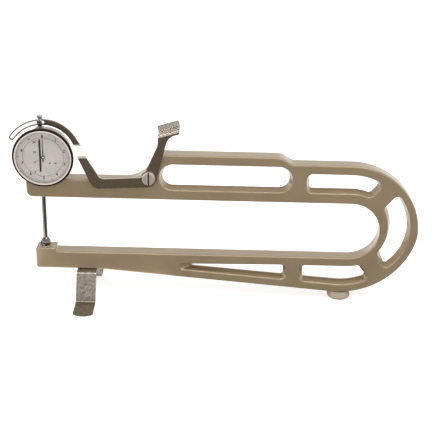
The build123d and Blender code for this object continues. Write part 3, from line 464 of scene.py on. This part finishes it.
@dataclass(frozen=True)
class DialPaint(GrainedFinish):
    """Matt off-white stove enamel on an aluminium disc, very slightly warm and mottled.

    Its grit is drawn half a millimetre wide, which is coarser than the real one, so that it
    shows.
    """

    name: str = "matt_off_white_dial_enamel"
    colour: str = "C5BEB6"
    second_colour: str = "BBB5AF"
    grain: Triple = (7.0, 7.0, 7.0)
    fine_grain: Triple = (0.5, 0.5, 0.5)
    fine_detail: float = 1.0
    roughness: float = 0.5
    swing: Pair = (0.0, 0.14)
    relief: float = 0.005
    relief_strength: float = 0.5


@dataclass(frozen=True)
class PrintedInk(GrainedFinish):
    """Pad-printed ink: a raised satin film, paler where it is thin."""

    name: str = "black_pad_printed_ink"
    colour: str = "0E0C0B"
    second_colour: str = "1F1C1A"
    grain: Triple = (0.8, 0.8, 0.8)
    roughness: float = 0.45
    swing: Pair = (0.0, 0.15)


@dataclass(frozen=True)
class PointerPaint(GrainedFinish):
    """Semi-gloss black paint on a thin blanked hand, a shade paler where it is worn."""

    name: str = "semi_gloss_black_pointer_paint"
    colour: str = "0D0C0B"
    second_colour: str = "1D1B1A"
    grain: Triple = (2.5, 2.5, 2.5)
    roughness: float = 0.28
    swing: Pair = (0.0, 0.14)


@dataclass(frozen=True)
class MouldedFoot(GrainedFinish):
    """Beige moulded polyamide, glossy where it rests and rubs, with its mould's fine grain."""

    name: str = "beige_moulded_polyamide"
    colour: str = "B5A48A"
    second_colour: str = "9F8E73"
    grain: Triple = (0.9, 0.9, 0.9)
    roughness: float = 0.3
    swing: Pair = (0.0, 0.15)
    coat: float = 0.7
    coat_roughness: float = 0.08
    relief: float = 0.02
    relief_strength: float = 0.5


@dataclass(frozen=True)
class WatchGlass(GrainedFinish):
    """Clear pressed crystal over the dial: almost invisible, with faint wiping marks."""

    name: str = "clear_dial_crystal"
    colour: str = "F4F6F5"
    second_colour: str = "E9EEEC"
    grain: Triple = (14.0, 14.0, 5.0)
    detail: float = 2.0
    roughness: float = 0.02
    swing: Pair = (0.0, 0.04)
    ior: float = 1.5
    opacity: float = 0.03

    def lay_down(self, shading: Shading) -> None:
        """Sets the wiping marks and makes the crystal clear.

        Args:
            shading: The material's tree and shader.
        """
        super().lay_down(shading)
        shading.give("IOR", self.ior)
        shading.give("Alpha", self.opacity)


@dataclass(frozen=True)
class BlackedHub(Finish):
    """Blackened pointer hub with its centre turned bright, seen as a black ring round a dot."""

    name: str = "blackened_hub_with_bright_centre"
    bright_colour: str = "E2DDD6"
    black_colour: str = "0A0908"
    bright_r: float = 0.85
    bright_roughness: float = 0.3
    black_roughness: float = 0.45
    metallic: float = 0.2

    def lay_down(self, shading: Shading) -> None:
        """Parts the bright centre from the blackened ring.

        Args:
            shading: The material's tree and shader.
        """
        radius = shading.radius(shading.place(DIAL_X, DIAL_Z))
        outside = shading.step(radius, self.bright_r)
        shading.give("Base Color", shading.blend(outside, self.bright_colour, self.black_colour))
        rough = shading.between(outside, self.bright_roughness, self.black_roughness, WHOLE)
        shading.give("Roughness", rough)
        shading.give("Metallic", self.metallic)


@dataclass(frozen=True)
class SlottedHead(GrainedFinish):
    """Satin chrome screw head, brushed up and down, with painted shade in its upright slot."""

    name: str = "satin_chrome_with_painted_slot_shade"
    colour: str = "E6DDD2"
    second_colour: str = "CFC5B9"
    grain: Triple = (0.5, 4.0, 4.0)
    roughness: float = 0.36
    swing: Pair = (0.0, 0.14)
    metallic: float = 0.75
    # Painted shade: the inside of the slot is dark and not metallic.
    grease_colour: str = "16120E"
    axis_x: float = 102.0
    axis_z: float = 76.5
    slot_width: float = 1.5
    front_y: float = 0.0
    depth: float = 0.35  # how far behind the head's front the painted slot shade begins
    floor: float = 1.6  # and how far behind it the slot ends

    def lay_down(self, shading: Shading) -> None:
        """Sets the brushed satin and paints shade into the slot.

        Args:
            shading: The material's tree and shader.
        """
        # The slot's painted shade fills the recess between its walls and its floor.
        place = shading.place(self.axis_x, self.axis_z).outputs
        right = shading.step(place["X"], self.slot_width / 2)
        left = shading.step(place["X"], -self.slot_width / 2)
        sunk = shading.step(place["Y"], self.front_y + self.depth)
        past = shading.step(place["Y"], self.front_y + self.floor)
        tree, kind = shading.tree, "ShaderNodeMath"
        width = add_node(tree, kind, {0: left, 1: right}, operation="SUBTRACT")
        reach = add_node(tree, kind, {0: sunk, 1: past}, operation="SUBTRACT")
        both = {0: width.outputs[0], 1: reach.outputs[0]}
        shade_in_slot = add_node(tree, kind, both, operation="MULTIPLY").outputs[0]
        grain = shading.pattern(self.grain, self.detail)
        brushed = shading.between(grain, 0.0, 1.0, self.spread)
        satin = shading.blend(brushed, self.colour, self.second_colour)
        shading.give("Base Color", shading.blend(shade_in_slot, satin, self.grease_colour))
        low, high = (self.roughness + change for change in self.swing)
        shading.give("Roughness", shading.between(brushed, low, high, self.gloss_spread))
        shading.give("Metallic", shading.between(shade_in_slot, self.metallic, 0.0, WHOLE))


@dataclass(frozen=True)
class RimmedChrome(Finish):
    """Chromed bezel, its zones painted in place of the chrome's reflections and shade.

    The sloped front edge is painted black, a painted dark reflection that frames the dial. The
    flat ring inside it is painted pale satin, a painted reflection of the bright surround, and
    the dark skirt behind it is chrome with painted shade. Each triple holds the values of the
    flat ring, the black edge and the skirt.
    """

    name: str = "chrome_with_painted_reflections_and_shade"
    # The pale ring and the black edge are painted reflections, and the dark skirt is painted
    # shade.
    colours: tuple[str, str, str] = ("EBDBCF", "080706", "524B40")
    metallic: Triple = (0.2, 0.0, 1.0)
    roughness: Triple = (0.5, 0.4, 0.24)
    specular: float = 0.2
    edge_r: float = 26.95
    skirt_y: float = -11.3

    def lay_down(self, shading: Shading) -> None:
        """Parts flat ring, enamelled edge and skirt by their place on the dial's axis.

        Args:
            shading: The material's tree and shader.
        """
        place = shading.place(DIAL_X, DIAL_Z)
        outside = shading.step(shading.radius(place), self.edge_r)
        behind = shading.step(place.outputs["Y"], self.skirt_y)
        # Painted reflections and shade: pale ring, black edge and dark skirt.
        ring_colour, dark_reflection_colour, shaded_skirt_colour = self.colours
        front = shading.blend(outside, ring_colour, dark_reflection_colour)
        shading.give("Base Color", shading.blend(behind, front, shaded_skirt_colour))
        zones = {"Metallic": self.metallic, "Roughness": self.roughness}
        for name, (ring, dark_edge_value, skirt) in zones.items():
            before = shading.between(outside, ring, dark_edge_value, WHOLE)
            mix = add_node(shading.tree, "ShaderNodeMix", {0: behind, 2: before, 3: skirt})
            shading.give(name, mix.outputs[0])
        shading.give("Specular IOR Level", self.specular)


@dataclass(frozen=True)
class FloorPaper(Finish):
    """White background paper, matt, which glows a little so that it stays white."""

    name: str = "white_background_paper"
    colour: str = "FAFAFA"
    roughness: float = 0.95
    specular: float = 0.1
    glow_colour: str = "FFFFFF"
    glow: float = 0.55

    def lay_down(self, shading: Shading) -> None:
        """Sets the matt paper.

        Args:
            shading: The material's tree and shader.
        """
        shading.give("Base Color", linear(self.colour))
        shading.give("Roughness", self.roughness)
        shading.give("Specular IOR Level", self.specular)
        shading.give("Emission Color", linear(self.glow_colour))
        shading.give("Emission Strength", self.glow)


@dataclass(frozen=True)
class DarkCard(Finish):
    """Dark brown-grey matt card."""

    name: str = "dark_card"
    colour: str = "645A4A"
    roughness: float = 1.0

    def lay_down(self, shading: Shading) -> None:
        """Sets the matt card."""
        shading.give("Base Color", linear(self.colour))
        shading.give("Roughness", self.roughness)


SCREW_CHROME = ChromePlate(name="chrome_plated_screws", roughness=0.14)


def plain_mesh(host: bpy.types.Object, name: str) -> Mesh:
    """Turns an object, with its modifiers, to a plain mesh and removes the object.

    Args:
        host: A mesh or text object.
        name: The new mesh's name.

    Returns:
        The mesh.
    """
    bpy.context.view_layer.update()
    graph = bpy.context.evaluated_depsgraph_get()
    made = bpy.data.meshes.new_from_object(host.evaluated_get(graph), depsgraph=graph)
    made.name = name
    bpy.data.objects.remove(host)
    return made


def inked_mesh(drawing: bmesh.types.BMesh, name: str, ink: Finish) -> Mesh:
    """Turns a closed drawing to a mesh in its ink, and frees the drawing.

    Args:
        drawing: The drawing, in metres.
        name: The mesh's name.
        ink: What it is printed in.

    Returns:
        The mesh, with its faces turned outwards.
    """
    bmesh.ops.recalc_face_normals(drawing, faces=drawing.faces)
    mesh = bpy.data.meshes.new(name)
    drawing.to_mesh(mesh)
    drawing.free()
    mesh.materials.append(ink.material())
    return mesh


def joined(name: str, parts: list[tuple[Mesh, Matrix]], ink: Finish) -> Mesh:
    """Joins meshes, each put in its place.

    Args:
        name: The new mesh's name.
        parts: Each mesh with its transform.
        ink: The finish of all of them.

    Returns:
        The joined mesh.
    """
    drawing = bmesh.new()
    for part, place in parts:
        part.transform(place)
        drawing.from_mesh(part)
        bpy.data.meshes.remove(part)
    bmesh.ops.remove_doubles(drawing, verts=drawing.verts, dist=WELD)
    return inked_mesh(drawing, name, ink)


def closed_band(name: str, loops: list[list[Triple]], ink: Finish) -> Mesh:
    """Makes a band whose section has a corner on each loop.

    Args:
        name: The mesh's name.
        loops: The loops' points in millimetres, the loops in order round the section.
        ink: What it is printed in.

    Returns:
        The mesh, in metres.
    """
    drawing = bmesh.new()
    rows = [
        [drawing.verts.new([side * MM for side in point]) for point in loop] for loop in loops
    ]
    for first, second in zip(rows, rows[1:] + rows[:1]):
        for i, corner in enumerate(first):
            j = (i + 1) % len(first)
            drawing.faces.new((corner, first[j], second[j], second[i]))
    return inked_mesh(drawing, name, ink)


@dataclass
class SubAssembly:
    """Part of the gauge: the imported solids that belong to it, by node name."""

    nodes: dict[str, bpy.types.Object]

    def dress(self, finish: Finish, *names: str) -> None:
        """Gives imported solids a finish.

        Args:
            finish: What they are finished in.
            names: Their node names.
        """
        for name in names:
            mesh = self.nodes[name].data
            mesh.materials.clear()
            mesh.materials.append(finish.material())
            log.info("%s: %s", name, finish.name)


@dataclass
class CastFrame(SubAssembly):
    """The U-shaped casting with its bushes, anvil and the cover on the back of its head."""

    def build(self) -> None:
        """Dresses the casting and what is pressed or screwed into it."""
        self.dress(SprayedLacquer(), "frame")
        self.dress(GroundSteel(), "anvil", "lower_bush", "upper_bush")
        satin = PlatedSheet(
            name="satin_nickel_plate_on_cover",
            second_colour="C4B9AB",
            grain=Lay.ROUND_DIAL_AXIS.value,
            roughness=0.28,
        )
        self.dress(satin, "back_cover")
        self.dress(SCREW_CHROME, "cover_screws")


@dataclass
class SpindleSet(SubAssembly):
    """The measuring spindle with its contact tip, top button, counter marker and lift screw."""

    def build(self) -> None:
        """Dresses the spindle and what is fixed to it."""
        self.dress(GroundSteel(name="ground_and_polished_steel", roughness=0.13), "spindle")
        self.dress(ChromePlate(), "top_button", "lift_screw")
        # A darker copy of the chrome for the contact tip, as painted shade.
        dark = ChromePlate(name="hard_chrome_with_painted_shade", colour="8D867B", second_colour="6F685E")
        self.dress(dark, "contact_tip")
        self.dress(PointerPaint(), "counter_marker")


@dataclass
class LiftLever(SubAssembly):
    """The slotted lever that lifts the spindle, on its pivot screw and washer."""

    def build(self) -> None:
        """Dresses the lever and its pivot."""
        self.dress(PlatedSheet(), "lift_lever")
        self.dress(SlottedHead(front_y=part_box("pivot_screw")[0].y / MM), "pivot_screw")
        self.dress(ChromePlate(), "pivot_washer")


@dataclass
class Movement(SubAssembly):
    """The clockwork between the rack and the pointer."""

    def build(self) -> None:
        """Dresses plates, wheels, arbors, spring and pointer."""
        self.dress(TurnedBrass(), "front_plate", "back_plate", "pillars", "return_wheel")
        self.dress(TurnedBrass(name="bright_turned_brass", roughness=0.2), "spring_collet")
        steel = GroundSteel(name="turned_steel_arbor", grain=Lay.NONE.value)
        self.dress(steel, "centre_arbor", "return_arbor", "spring_post")
        self.dress(steel, "return_spring", "movement_screws")
        self.dress(PointerPaint(), "pointer")
        self.dress(BlackedHub(), "pointer_hub")


@dataclass
class Feet(SubAssembly):
    """The strap under the free end and the round foot under the bend."""

    def build(self) -> None:
        """Dresses both feet and their screws."""
        self.dress(TarnishedPlate(), "foot_strap")
        self.dress(SCREW_CHROME, "strap_screw", "rear_foot_screw")
        self.dress(MouldedFoot(), "rear_foot")


@dataclass
class Printing:
    """The prints on one disc: where its front is, what turns it, and the film's thickness."""

    front_y: float
    carrier: Carrier
    film: float = 0.06
    sunk: float = 0.02

    def on_the_dial(self, x: float = 0.0, z: float = 0.0) -> Matrix:
        """Place in metres of a flat drawing whose origin goes to x and z on the disc."""
        return Matrix.Translation(Vector((x, self.front_y + self.sunk, z)) * MM) @ UPRIGHT

    def piece(self, name: str, mesh: Mesh) -> None:
        """Puts a finished print on its body.

        Args:
            name: The piece's name.
            mesh: Its mesh, already in place.
        """
        made = bpy.data.objects.new(name, mesh)
        bpy.context.scene.collection.objects.link(made)
        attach(made, self.carrier.value)
        log.info("%s: %d faces", name, len(mesh.polygons))


@dataclass
class TickRow:
    """Marks along a ring or a line, made with Geometry Nodes.

    Every mark starts on the ring or line and runs to one side of it. Each fifth mark is
    longer than the rest, and each tenth longer and wider. A row with a radius is a ring, and
    one with a pitch is straight.
    """

    name: str
    count: int
    film: float
    short: float
    medium: float
    long: float
    width: float
    wide: float
    radius: float = 0.0
    pitch: float = 0.0
    tenth: int = 10
    fifth: int = 5

    def lengths(self) -> dict[str, float]:
        """The row's lengths in millimetres, by the name of the tree's input."""
        names = ("short", "medium", "long", "width", "wide", "film", "radius", "pitch")
        return {name.capitalize(): getattr(self, name) for name in names}

    def mark_size(self, tree: Tree, source: Node) -> Socket:
        """Works out each mark's size from its place in the row.

        Args:
            tree: The node tree.
            source: The tree's input node.

        Returns:
            The mark's length, width and film as a vector.
        """
        index = add_node(tree, "GeometryNodeInputIndex")
        is_nth = {}
        for name in ("Tenth", "Fifth"):
            counts = {0: index.outputs[0], 1: source.outputs[name]}
            left = add_node(tree, "ShaderNodeMath", counts, operation="MODULO")
            nothing = {0: left.outputs[0], 1: 0.0, 2: 0.1}
            found = add_node(tree, "ShaderNodeMath", nothing, operation="COMPARE")
            is_nth[name] = found.outputs[0]
        size = {"X": source.outputs["Short"], "Y": source.outputs["Width"]}
        changes = (("X", "Fifth", "Medium"), ("X", "Tenth", "Long"), ("Y", "Tenth", "Wide"))
        for side, nth, name in changes:
            choice = {0: is_nth[nth], 1: size[side], 2: source.outputs[name]}
            chosen = add_node(tree, "GeometryNodeSwitch", choice, input_type="FLOAT")
            size[side] = chosen.outputs[0]
        size["Z"] = source.outputs["Film"]
        return add_node(tree, "ShaderNodeCombineXYZ", size).outputs[0]

    def marks(self, tree: Tree, source: Node) -> Socket:
        """Sets a block on each point of the ring or line.

        Args:
            tree: The node tree.
            source: The tree's input node.

        Returns:
            The blocks.
        """
        count = source.outputs["Count"]
        if self.radius:
            ring = {"Vertices": count, "Radius": source.outputs["Radius"]}
            row = add_node(tree, "GeometryNodeMeshCircle", ring)
        else:
            step = add_node(tree, "ShaderNodeCombineXYZ", {"Y": source.outputs["Pitch"]})
            line = {"Count": count, "Offset": step.outputs[0]}
            row = add_node(tree, "GeometryNodeMeshLine", line)
        block = add_node(tree, "GeometryNodeMeshCube", {"Size": (1.0, 1.0, 1.0)})
        moved = {"Geometry": block.outputs[0], "Translation": (-0.5, 0.0, 0.5)}
        from_end = add_node(tree, "GeometryNodeTransform", moved)
        placed = {"Points": row.outputs[0], "Instance": from_end.outputs[0]}
        placed["Scale"] = self.mark_size(tree, source)
        points = add_node(tree, "GeometryNodeInstanceOnPoints", placed)
        if self.radius:
            place = add_node(tree, "GeometryNodeInputPosition")
            outwards = add_node(
                tree,
                "FunctionNodeAlignRotationToVector",
                {"Vector": place.outputs[0]},
                axis="X",
                pivot_axis="Z",
            )
            tree.links.new(outwards.outputs[0], points.inputs["Rotation"])
        return points.outputs[0]

    def tree(self) -> Tree:
        """Builds the node tree of the row.

        Returns:
            The tree, with a named input for each size, each count and the ink.
        """
        tree = bpy.data.node_groups.new(self.name, "GeometryNodeTree")
        inputs = [(name, "NodeSocketFloat") for name in self.lengths()]
        inputs += [(name, "NodeSocketInt") for name in ("Count", "Tenth", "Fifth")]
        for name, kind in (*inputs, ("Ink", "NodeSocketMaterial")):
            tree.interface.new_socket(name=name, in_out="INPUT", socket_type=kind)
        tree.interface.new_socket(
            name="Geometry", in_out="OUTPUT", socket_type="NodeSocketGeometry"
        )
        source = add_node(tree, "NodeGroupInput")
        marks = {"Geometry": self.marks(tree, source)}
        whole = add_node(tree, "GeometryNodeRealizeInstances", marks)
        plain = {"Geometry": whole.outputs[0], "Material": source.outputs["Ink"]}
        inked = add_node(tree, "GeometryNodeSetMaterial", plain)
        add_node(tree, "NodeGroupOutput", {"Geometry": inked.outputs[0]})
        return tree

    def mesh(self, ink: Finish) -> Mesh:
        """Makes the row's plain mesh, in metres, lying flat.

        Args:
            ink: What the marks are printed in.

        Returns:
            The mesh.
        """
        host = bpy.data.objects.new(self.name, bpy.data.meshes.new(self.name))
        bpy.context.scene.collection.objects.link(host)
        modifier = host.modifiers.new(self.name, "NODES")
        modifier.node_group = self.tree()
        values: dict[str, object] = {name: size * MM for name, size in self.lengths().items()}
        values |= {"Count": self.count, "Tenth": self.tenth, "Fifth": self.fifth}
        values["Ink"] = ink.material()
        for item in modifier.node_group.interface.items_tree:
            if item.in_out == "INPUT":
                modifier[item.identifier] = values[item.name]
        return plain_mesh(host, self.name)


@dataclass
class Lettering:
    """Printed figures of one size."""

    height: float
    weight: float
    film: float
    height_share: float = 0.7  # height of a figure as a share of the type's size

    def figure(self, text: str) -> Mesh:
        """Makes a figure's mesh, lying flat with its middle on the origin.

        Args:
            text: What it says.

        Returns:
            The mesh, in metres.
        """
        curve = bpy.data.curves.new(text, "FONT")
        curve.body = text
        curve.align_x = "CENTER"
        curve.align_y = "CENTER"
        curve.size = self.height * MM / self.height_share
        curve.offset = self.weight * MM
        curve.extrude = self.film / 2 * MM
        host = bpy.data.objects.new(text, curve)
        bpy.context.scene.collection.objects.link(host)
        mesh = plain_mesh(host, text)
        low = Vector(min(v.co[i] for v in mesh.vertices) for i in range(3))
        high = Vector(max(v.co[i] for v in mesh.vertices) for i in range(3))
        middle = (low + high) / 2
        mesh.transform(Matrix.Translation((-middle.x, -middle.y, -low.z)))
        return mesh


@dataclass
class Dial(SubAssembly):
    """The bezel with its glass and turning scale, and the fixed disc with the counter's scale."""

    marks_r: float = 25.4
    figures_r: float = 20.9
    digits: int = 10
    counter_zero_z: float = 81.8
    counter_pitch: float = 5.0
    counter_marks_x: float = -1.5
    counter_figures: int = 4
    counter_figures_x: float = -5.0
    counter_figures_drop: float = 1.6  # how far a figure's middle is below its mark
    arrow_z: float = 89.5
    arrow_half: float = 0.95
    arrow_length: float = 2.3
    arrow_xs: Pair = (8.6, 14.6)
    ring_line_r: float = 19.35
    ring_line_width: float = 0.26
    ring_line_steps: int = 120
    slot_width: float = 1.5
    # width of the black band of painted shade round the counter's slot
    slot_border: float = 0.18
    slot_low_z: float = 80.65
    slot_high_z: float = 112.95
    black: PrintedInk = PrintedInk()
    grey: PrintedInk = PrintedInk("grey_pad_printed_ink", "8C8986", "9A9793")
    russet: PrintedInk = PrintedInk("russet_pad_printed_ink", "4E241C", "66372B")

    def build(self) -> None:
        """Dresses bezel, glass and discs and prints on them."""
        self.dress(RimmedChrome(), "bezel")
        self.dress(WatchGlass(), "crystal")
        satin = ChromePlate(name="satin_chrome_spacer", colour="D8D4CC", roughness=0.3)
        self.dress(satin, "crystal_spacer")
        self.dress(GroundSteel(name="spring_steel_wire", grain=Lay.NONE.value), "bezel_wire")
        self.dress(DialPaint(), "scale_ring", "dial_disc")
        ring = Printing(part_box("scale_ring")[0].y / MM, Carrier.BEZEL)
        disc = Printing(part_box("dial_disc")[0].y / MM, Carrier.FRAME)
        self.print_graduations(ring)
        self.print_numerals(ring)
        self.print_counter_marks(disc)
        self.print_counter_figures(disc)
        self.print_arrows(disc)
        self.print_ring_line(ring)
        self.print_slot_border(disc)

    def print_graduations(self, ring: Printing) -> None:
        """Prints the hundred graduations, each fifth longer and each tenth wider.

        Args:
            ring: The turning scale's prints.
        """
        row = TickRow(
            name="dial_graduations",
            count=100,
            film=ring.film,
            short=1.3,
            medium=1.9,
            long=2.5,
            width=0.18,
            wide=0.3,
            radius=self.marks_r,
        )
        mesh = row.mesh(self.black)
        mesh.transform(ring.on_the_dial(DIAL_X, DIAL_Z))
        ring.piece("dial_graduations", mesh)

    def print_numerals(self, ring: Printing) -> None:
        """Prints the figures 0 to 9 clockwise, all upright.

        Args:
            ring: The turning scale's prints.
        """
        letters = Lettering(height=2.7, weight=0.12, film=ring.film)
        parts = []
        for digit in range(self.digits):
            angle = math.tau * digit / self.digits
            x = DIAL_X + self.figures_r * math.sin(angle)
            z = DIAL_Z + self.figures_r * math.cos(angle)
            parts.append((letters.figure(str(digit)), ring.on_the_dial(x, z)))
        ring.piece("dial_numerals", joined("dial_numerals", parts, self.black))

    def print_counter_marks(self, disc: Printing) -> None:
        """Prints the counter's marks beside its slot, each second one longer and wider.

        Args:
            disc: The fixed disc's prints.
        """
        row = TickRow(
            name="counter_marks",
            count=7,
            film=disc.film,
            short=1.4,
            medium=1.4,
            long=2.6,
            width=0.16,
            wide=0.22,
            pitch=self.counter_pitch,
            tenth=2,
            fifth=1,
        )
        mesh = row.mesh(self.russet)
        mesh.transform(disc.on_the_dial(self.counter_marks_x, self.counter_zero_z))
        disc.piece("counter_marks", mesh)

    def print_counter_figures(self, disc: Printing) -> None:
        """Prints a figure at every ten millimetres of the counter.

        Args:
            disc: The fixed disc's prints.
        """
        letters = Lettering(height=2.1, weight=0.08, film=disc.film)
        lowest_z = self.counter_zero_z - self.counter_figures_drop
        parts = []
        for number in range(self.counter_figures):
            z = lowest_z + 2 * self.counter_pitch * number
            place = disc.on_the_dial(self.counter_figures_x, z)
            parts.append((letters.figure(str(10 * number)), place))
        disc.piece("counter_figures", joined("counter_figures", parts, self.russet))

    def print_ring_line(self, ring: Printing) -> None:
        """Prints the fine grey circle at the turning scale's inner edge.

        Args:
            ring: The turning scale's prints.
        """
        inner = self.ring_line_r - self.ring_line_width / 2
        outer = self.ring_line_r + self.ring_line_width / 2
        section = ((inner, 0.0), (outer, 0.0), (outer, ring.film), (inner, ring.film))
        turns = [math.tau * i / self.ring_line_steps for i in range(self.ring_line_steps)]
        loops = [
            [(radius * math.cos(turn), radius * math.sin(turn), height) for turn in turns]
            for radius, height in section
        ]
        mesh = closed_band("ring_line", loops, self.grey)
        mesh.transform(ring.on_the_dial(DIAL_X, DIAL_Z))
        ring.piece("ring_line", mesh)

    def print_slot_border(self, disc: Printing) -> None:
        """Prints a black band round the counter's slot, painted shade for the slot's dark depth.

        Args:
            disc: The fixed disc's prints.
        """
        border = self.slot_border
        loops = []
        for grown, height in ((0.0, 0.0), (border, 0.0), (border, disc.film), (0.0, disc.film)):
            reach = self.slot_width / 2 + grown
            low, high = self.slot_low_z - grown, self.slot_high_z + grown
            rim = ((-reach, low), (reach, low), (reach, high), (-reach, high))
            loops.append([(x, z, height) for x, z in rim])
        mesh = closed_band("slot_border", loops, self.black)
        mesh.transform(disc.on_the_dial())
        disc.piece("slot_border", mesh)

    def print_arrows(self, disc: Printing) -> None:
        """Prints two arrowheads that point away from each other.

        Args:
            disc: The fixed disc's prints.
        """
        drawing = bmesh.new()
        for x, way in zip(self.arrow_xs, (-1, 1)):
            tip = x + way * self.arrow_length / 2
            root = x - way * self.arrow_length / 2
            corners = [(tip, 0.0), (root, self.arrow_half), (root, -self.arrow_half)]
            rim = [drawing.verts.new((px * MM, pz * MM, 0.0)) for px, pz in corners]
            face = drawing.faces.new(rim)
            top = bmesh.ops.extrude_face_region(drawing, geom=[face])["geom"]
            lifted = [v for v in top if isinstance(v, bmesh.types.BMVert)]
            bmesh.ops.translate(drawing, verts=lifted, vec=(0.0, 0.0, disc.film * MM))
        mesh = inked_mesh(drawing, "direction_arrows", self.black)
        mesh.transform(disc.on_the_dial(0.0, self.arrow_z))
        disc.piece("direction_arrows", mesh)


@dataclass
class Bench:
    """The pale floor, and the dark cards round the gauge that only its gloss mirrors."""

    floor_z: float
    floor_half: float = 6000.0
    card_rise: float = 1.0
    cards: tuple[Quad, ...] = (
        (-2500.0, -3000.0, 2500.0, -120.0),
        (-20.0, -120.0, 520.0, -45.0),
        (120.0, -45.0, 520.0, 60.0),
        (-2500.0, -20.0, -45.0, 900.0),
    )

    def sheet(self, name: str, area: Quad, z: float, finish: Finish) -> bpy.types.Object:
        """Makes a flat sheet.

        Args:
            name: Its name.
            area: Its lowest x and y and its highest x and y.
            z: Its height.
            finish: What it is made of.

        Returns:
            The sheet, not part of the object.
        """
        x1, y1, x2, y2 = (value * MM for value in area)
        corners = [(x1, y1, z * MM), (x2, y1, z * MM), (x2, y2, z * MM), (x1, y2, z * MM)]
        mesh = bpy.data.meshes.new(name)
        mesh.from_pydata(corners, [], [(0, 1, 2, 3)])
        mesh.materials.append(finish.material())
        made = bpy.data.objects.new(name, mesh)
        bpy.context.scene.collection.objects.link(made)
        made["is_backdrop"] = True
        return made

    def build(self) -> None:
        """Lays the floor and the cards."""
        half = self.floor_half
        floor = self.sheet("floor", (-half, -half, half, half), self.floor_z, FloorPaper())
        floor.visible_diffuse = False
        card_z = self.floor_z + self.card_rise
        for number, area in enumerate(self.cards):
            card = self.sheet(f"dark_card_{number}", area, card_z, DarkCard())
            for ray in ("camera", "diffuse", "shadow", "transmission"):
                setattr(card, f"visible_{ray}", False)


@dataclass(frozen=True)
class Softbox:
    """A soft light over the gauge: its place and size, and its power in watts."""

    name: str
    place: Triple
    size: Pair
    power: float

    def hang(self, target: Triple) -> None:
        """Hangs the light so that it faces a point.

        Args:
            target: The point.
        """
        lamp = bpy.data.lights.new(self.name, "AREA")
        lamp.energy = self.power
        lamp.shape = "RECTANGLE"
        lamp.size, lamp.size_y = (side * MM for side in self.size)
        made = bpy.data.objects.new(self.name, lamp)
        made.location = Vector(self.place) * MM
        aim = Vector(target) - Vector(self.place)
        made.rotation_mode = "QUATERNION"
        made.rotation_quaternion = aim.to_track_quat("-Z", "Y")
        bpy.context.scene.collection.objects.link(made)


@dataclass
class Studio:
    """A white surround, darker overhead and below, and three soft lights above the gauge."""

    surround: float = 1.0
    top_strength: float = 0.3
    top_from: float = 0.75  # Z of the directions above which it is darkest overhead
    horizon_strength: float = 1.45
    ground_strength: float = 0.6
    ground_from: float = -0.9  # and below which it is darkest underneath
    target: Triple = (170.0, 0.0, 20.0)
    lights: tuple[Softbox, ...] = (
        Softbox("key_light", (620.0, -420.0, 1050.0), size=(700.0, 700.0), power=2.0),
        Softbox("strip_light", (150.0, -280.0, 1150.0), size=(1500.0, 110.0), power=5.4),
        Softbox("joggle_light", (-73.0, -716.0, 936.0), size=(260.0, 260.0), power=0.6),
    )

    def build(self) -> None:
        """Sets up the surround and hangs the lights."""
        self.light_surround()
        bpy.context.scene.view_settings.view_transform = "Standard"
        for light in self.lights:
            light.hang(self.target)

    def light_surround(self) -> None:
        """Makes the surround: plain white to the camera, graded by height as a light."""
        world = bpy.data.worlds.new("white_studio")
        world.use_nodes = True
        tree = world.node_tree
        tree.nodes.clear()
        coords = add_node(tree, "ShaderNodeTexCoord")
        parts = add_node(tree, "ShaderNodeSeparateXYZ", {0: coords.outputs["Generated"]})
        up = parts.outputs["Z"]
        over = {0: up, 1: 0.0, 2: self.top_from, 3: self.horizon_strength, 4: self.top_strength}
        ground_share = self.ground_strength / self.horizon_strength
        under = {0: up, 1: self.ground_from, 2: 0.0, 3: ground_share, 4: 1.0}
        above, below = (
            add_node(tree, "ShaderNodeMapRange", bounds).outputs[0] for bounds in (over, under)
        )
        graded = add_node(tree, "ShaderNodeMath", {0: above, 1: below}, operation="MULTIPLY")
        path = add_node(tree, "ShaderNodeLightPath")
        seen = {0: path.outputs["Is Camera Ray"]}
        for place, strength in ((1, graded.outputs[0]), (2, self.surround)):
            white = {"Color": (1.0, 1.0, 1.0, 1.0), "Strength": strength}
            seen[place] = add_node(tree, "ShaderNodeBackground", white).outputs[0]
        shown = add_node(tree, "ShaderNodeMixShader", seen)
        add_node(tree, "ShaderNodeOutputWorld", {"Surface": shown.outputs[0]})
        bpy.context.scene.world = world


@dataclass
class PhotoCamera:
    """The camera at the photograph's place: angles in degrees, lengths in millimetres."""

    place: Triple = (171.48, -952.23, 459.16)
    yaw: float = -0.299
    pitch: float = 24.02
    roll: float = -1.228
    lens: float = 89.55
    sensor: float = 36.0
    nearest: float = 10.0
    farthest: float = 100000.0

    def build(self) -> None:
        """Makes the camera and gives it to the scene."""
        yaw, pitch, roll = (math.radians(a) for a in (self.yaw, self.pitch, self.roll))
        ahead = Vector(
            (math.sin(yaw) * math.cos(pitch), math.cos(yaw) * math.cos(pitch), -math.sin(pitch))
        )
        right = Vector((math.cos(yaw), -math.sin(yaw), 0.0))
        down = ahead.cross(right)
        across = right * math.cos(roll) + down * math.sin(roll)
        below = down * math.cos(roll) - right * math.sin(roll)
        turn = Matrix((across, -below, -ahead)).transposed().to_4x4()
        data = bpy.data.cameras.new("photo_camera")
        data.lens = self.lens
        data.sensor_width = self.sensor
        data.clip_start = self.nearest * MM
        data.clip_end = self.farthest * MM
        camera = bpy.data.objects.new("photo_camera", data)
        camera.matrix_world = Matrix.Translation(Vector(self.place) * MM) @ turn
        bpy.context.scene.collection.objects.link(camera)
        bpy.context.scene.camera = camera


def main() -> None:
    """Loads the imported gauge, dresses it, prints its dial and lights it."""
    logging.basicConfig(level=logging.INFO, format="%(name)s: %(message)s")
    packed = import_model()
    cad_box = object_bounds()
    nodes = packed["nodes"]
    PhotoCamera().build()
    for kind in (CastFrame, SpindleSet, LiftLever, Movement, Feet, Dial):
        kind(nodes).build()
    Bench(floor_z=cad_box[0].z / MM).build()
    Studio().build()


if __name__ == "__main__":
    main()
